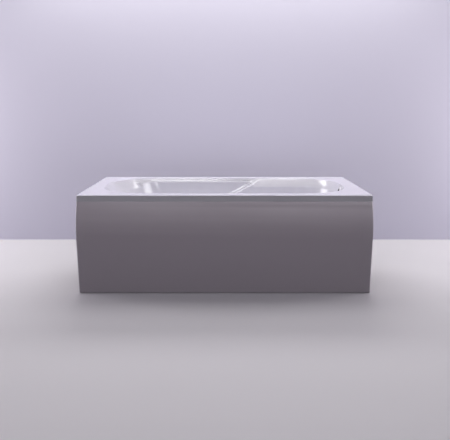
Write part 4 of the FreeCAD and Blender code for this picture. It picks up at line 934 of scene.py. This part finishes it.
# The models that were copied aren't pieces themselves.
for model in (screw, short_screw, bolt_head, shank, stem, pad, gasket):
    bpy.data.objects.remove(model)

# ---------------------------------------------------------------- studio
# A pale floor that meets a pale wall close behind the bath. Both are one-way, so the bath can
# be looked at from behind and from below.


def studio_sheet(name, seen, gleam, bounced, glow):
    """Matt paint with a colour to the eye, in gloss and for bounced light, clear from behind.
    Glow is what it adds, to the eye and in gloss."""
    sheet = blank(name)
    rays = add_node(sheet, "LightPath")
    direct = add_node(sheet, "Math", {"operation": "MAXIMUM"},
                      {0: rays.outputs["Is Camera Ray"], 1: rays.outputs["Is Transmission Ray"]})
    colour = add_node(sheet, "Mix", {"data_type": "RGBA", 6: linear(bounced), 7: linear(gleam)},
                      {0: rays.outputs["Is Glossy Ray"]})
    colour = add_node(sheet, "Mix", {"data_type": "RGBA", 7: linear(seen)},
                      {0: direct.outputs[0], 6: colour.outputs[2]})
    matt = add_node(sheet, "BsdfDiffuse", {}, {"Color": colour.outputs[2]})
    own = add_node(sheet, "Math", {"operation": "MULTIPLY_ADD", 1: glow[0], 2: 0.0},
                   {0: rays.outputs["Is Camera Ray"]})
    own = add_node(sheet, "Math", {"operation": "MULTIPLY_ADD", 1: glow[1]},
                   {0: rays.outputs["Is Glossy Ray"], 2: own.outputs[0]})
    lit = add_node(sheet, "Emission", {"Color": linear("#dcd4ff")}, {"Strength": own.outputs[0]})
    both = add_node(sheet, "AddShader", {}, {0: matt.outputs[0], 1: lit.outputs[0]})
    behind = add_node(sheet, "NewGeometry")
    clear = add_node(sheet, "BsdfTransparent")
    one_way = add_node(sheet, "MixShader", {},
                       {0: behind.outputs["Backfacing"], 1: both.outputs[0], 2: clear.outputs[0]})
    add_node(sheet, "OutputMaterial", {}, {"Surface": one_way.outputs[0]})
    return sheet


bpy.ops.mesh.primitive_plane_add(size=30, location=(0, 0, 0))
floor = bpy.context.object
floor.name = "studio_floor"
floor.data.materials.append(studio_sheet("floor_paint", "#d9d7de", "#d9d7de", "#4a484d",
                                         (0.0, 0.0)))
wall_y, wall_high = 0.837, 16
bpy.ops.mesh.primitive_plane_add(size=wall_high, location=(0, wall_y, wall_high / 2),
                                 rotation=(math.pi / 2, 0, 0))
wall = bpy.context.object
wall.name = "studio_wall"
wall.data.materials.append(studio_sheet("wall_paint", "#dcdae6", "#e4dcff", "#b0adb6",
                                        (0.17, 0.20)))
wall.visible_shadow = False

world = bpy.data.worlds.new("studio_air")
bpy.context.scene.world = world
world.use_nodes = True
air = world.node_tree.nodes["Background"]
air.inputs["Color"].default_value = linear("#e4e2ea")
air.inputs["Strength"].default_value = 0.14


def lamp(name, spot, aim, width, depth, power, colour, lights=True, gleams=True):
    """A rectangular lamp at spot, turned to aim. It may only light, or only show in gloss."""
    light = bpy.data.lights.new(name, "AREA")
    light.shape = "RECTANGLE"
    light.size, light.size_y = width, depth
    light.energy = power
    light.color = linear(colour)[:3]
    holder = bpy.data.objects.new(name, light)
    bpy.context.scene.collection.objects.link(holder)
    holder.location = spot
    holder.rotation_euler = (Vector(aim) - Vector(spot)).to_track_quat("-Z", "Y").to_euler()
    holder.visible_diffuse = lights
    holder.visible_glossy = gleams


# Broad lamps light the bath. The rest show only in its gloss, as bright windows would.
lamp("overhead", (0, 0.36, 2.4), (0, 0.20, 0), 3.4, 0.8, 22, "#fffdfa", gleams=False)
lamp("back_light", (0, 1.9, 2.7), (0, 0.1, 0.5), 3.6, 0.8, 72, "#fffdfa", gleams=False)
lamp("front_fill", (0, -3.4, 3.4), (0, 0, 0.4), 4.0, 1.2, 36, "#fffafc", gleams=False)
for side in (-1, 1):
    lamp("side", (side * 3.0, 0.25, 0.9), (0, 0.2, 0.3), 1.0, 1.6, 27, "#fffafc", gleams=False)
    lamp("side_gleam", (side * 3.0, 0.0, 0.95), (0, 0.0, 0.5), 1.6, 1.0, 48, "#ffffff",
         lights=False)
lamp("sky_gleam", (0, 0.95, 2.4), (0, 0.25, 0.5), 3.4, 1.4, 150, "#ffffff", lights=False)
lamp("left_softbox", (-0.6, -4.0, 2.1), (0.5, 0.25, 0.5), 1.2, 1.5, 62, "#ffffff", lights=False)
lamp("right_softbox", (2.6, -3.6, 2.0), (-0.6, 0.25, 0.5), 2.1, 1.8, 100, "#ffffff", lights=False)

camera = bpy.data.objects.new("camera", bpy.data.cameras.new("camera"))
bpy.context.scene.collection.objects.link(camera)
camera.location = (0.0, -3.200, 1.0915)
camera.rotation_euler = (math.radians(85), 0, 0)
camera.data.lens = 40.25
camera.data.shift_x = 0.001
camera.data.shift_y = -0.1564
bpy.context.scene.camera = camera
bpy.context.scene.view_settings.view_transform = "Standard"
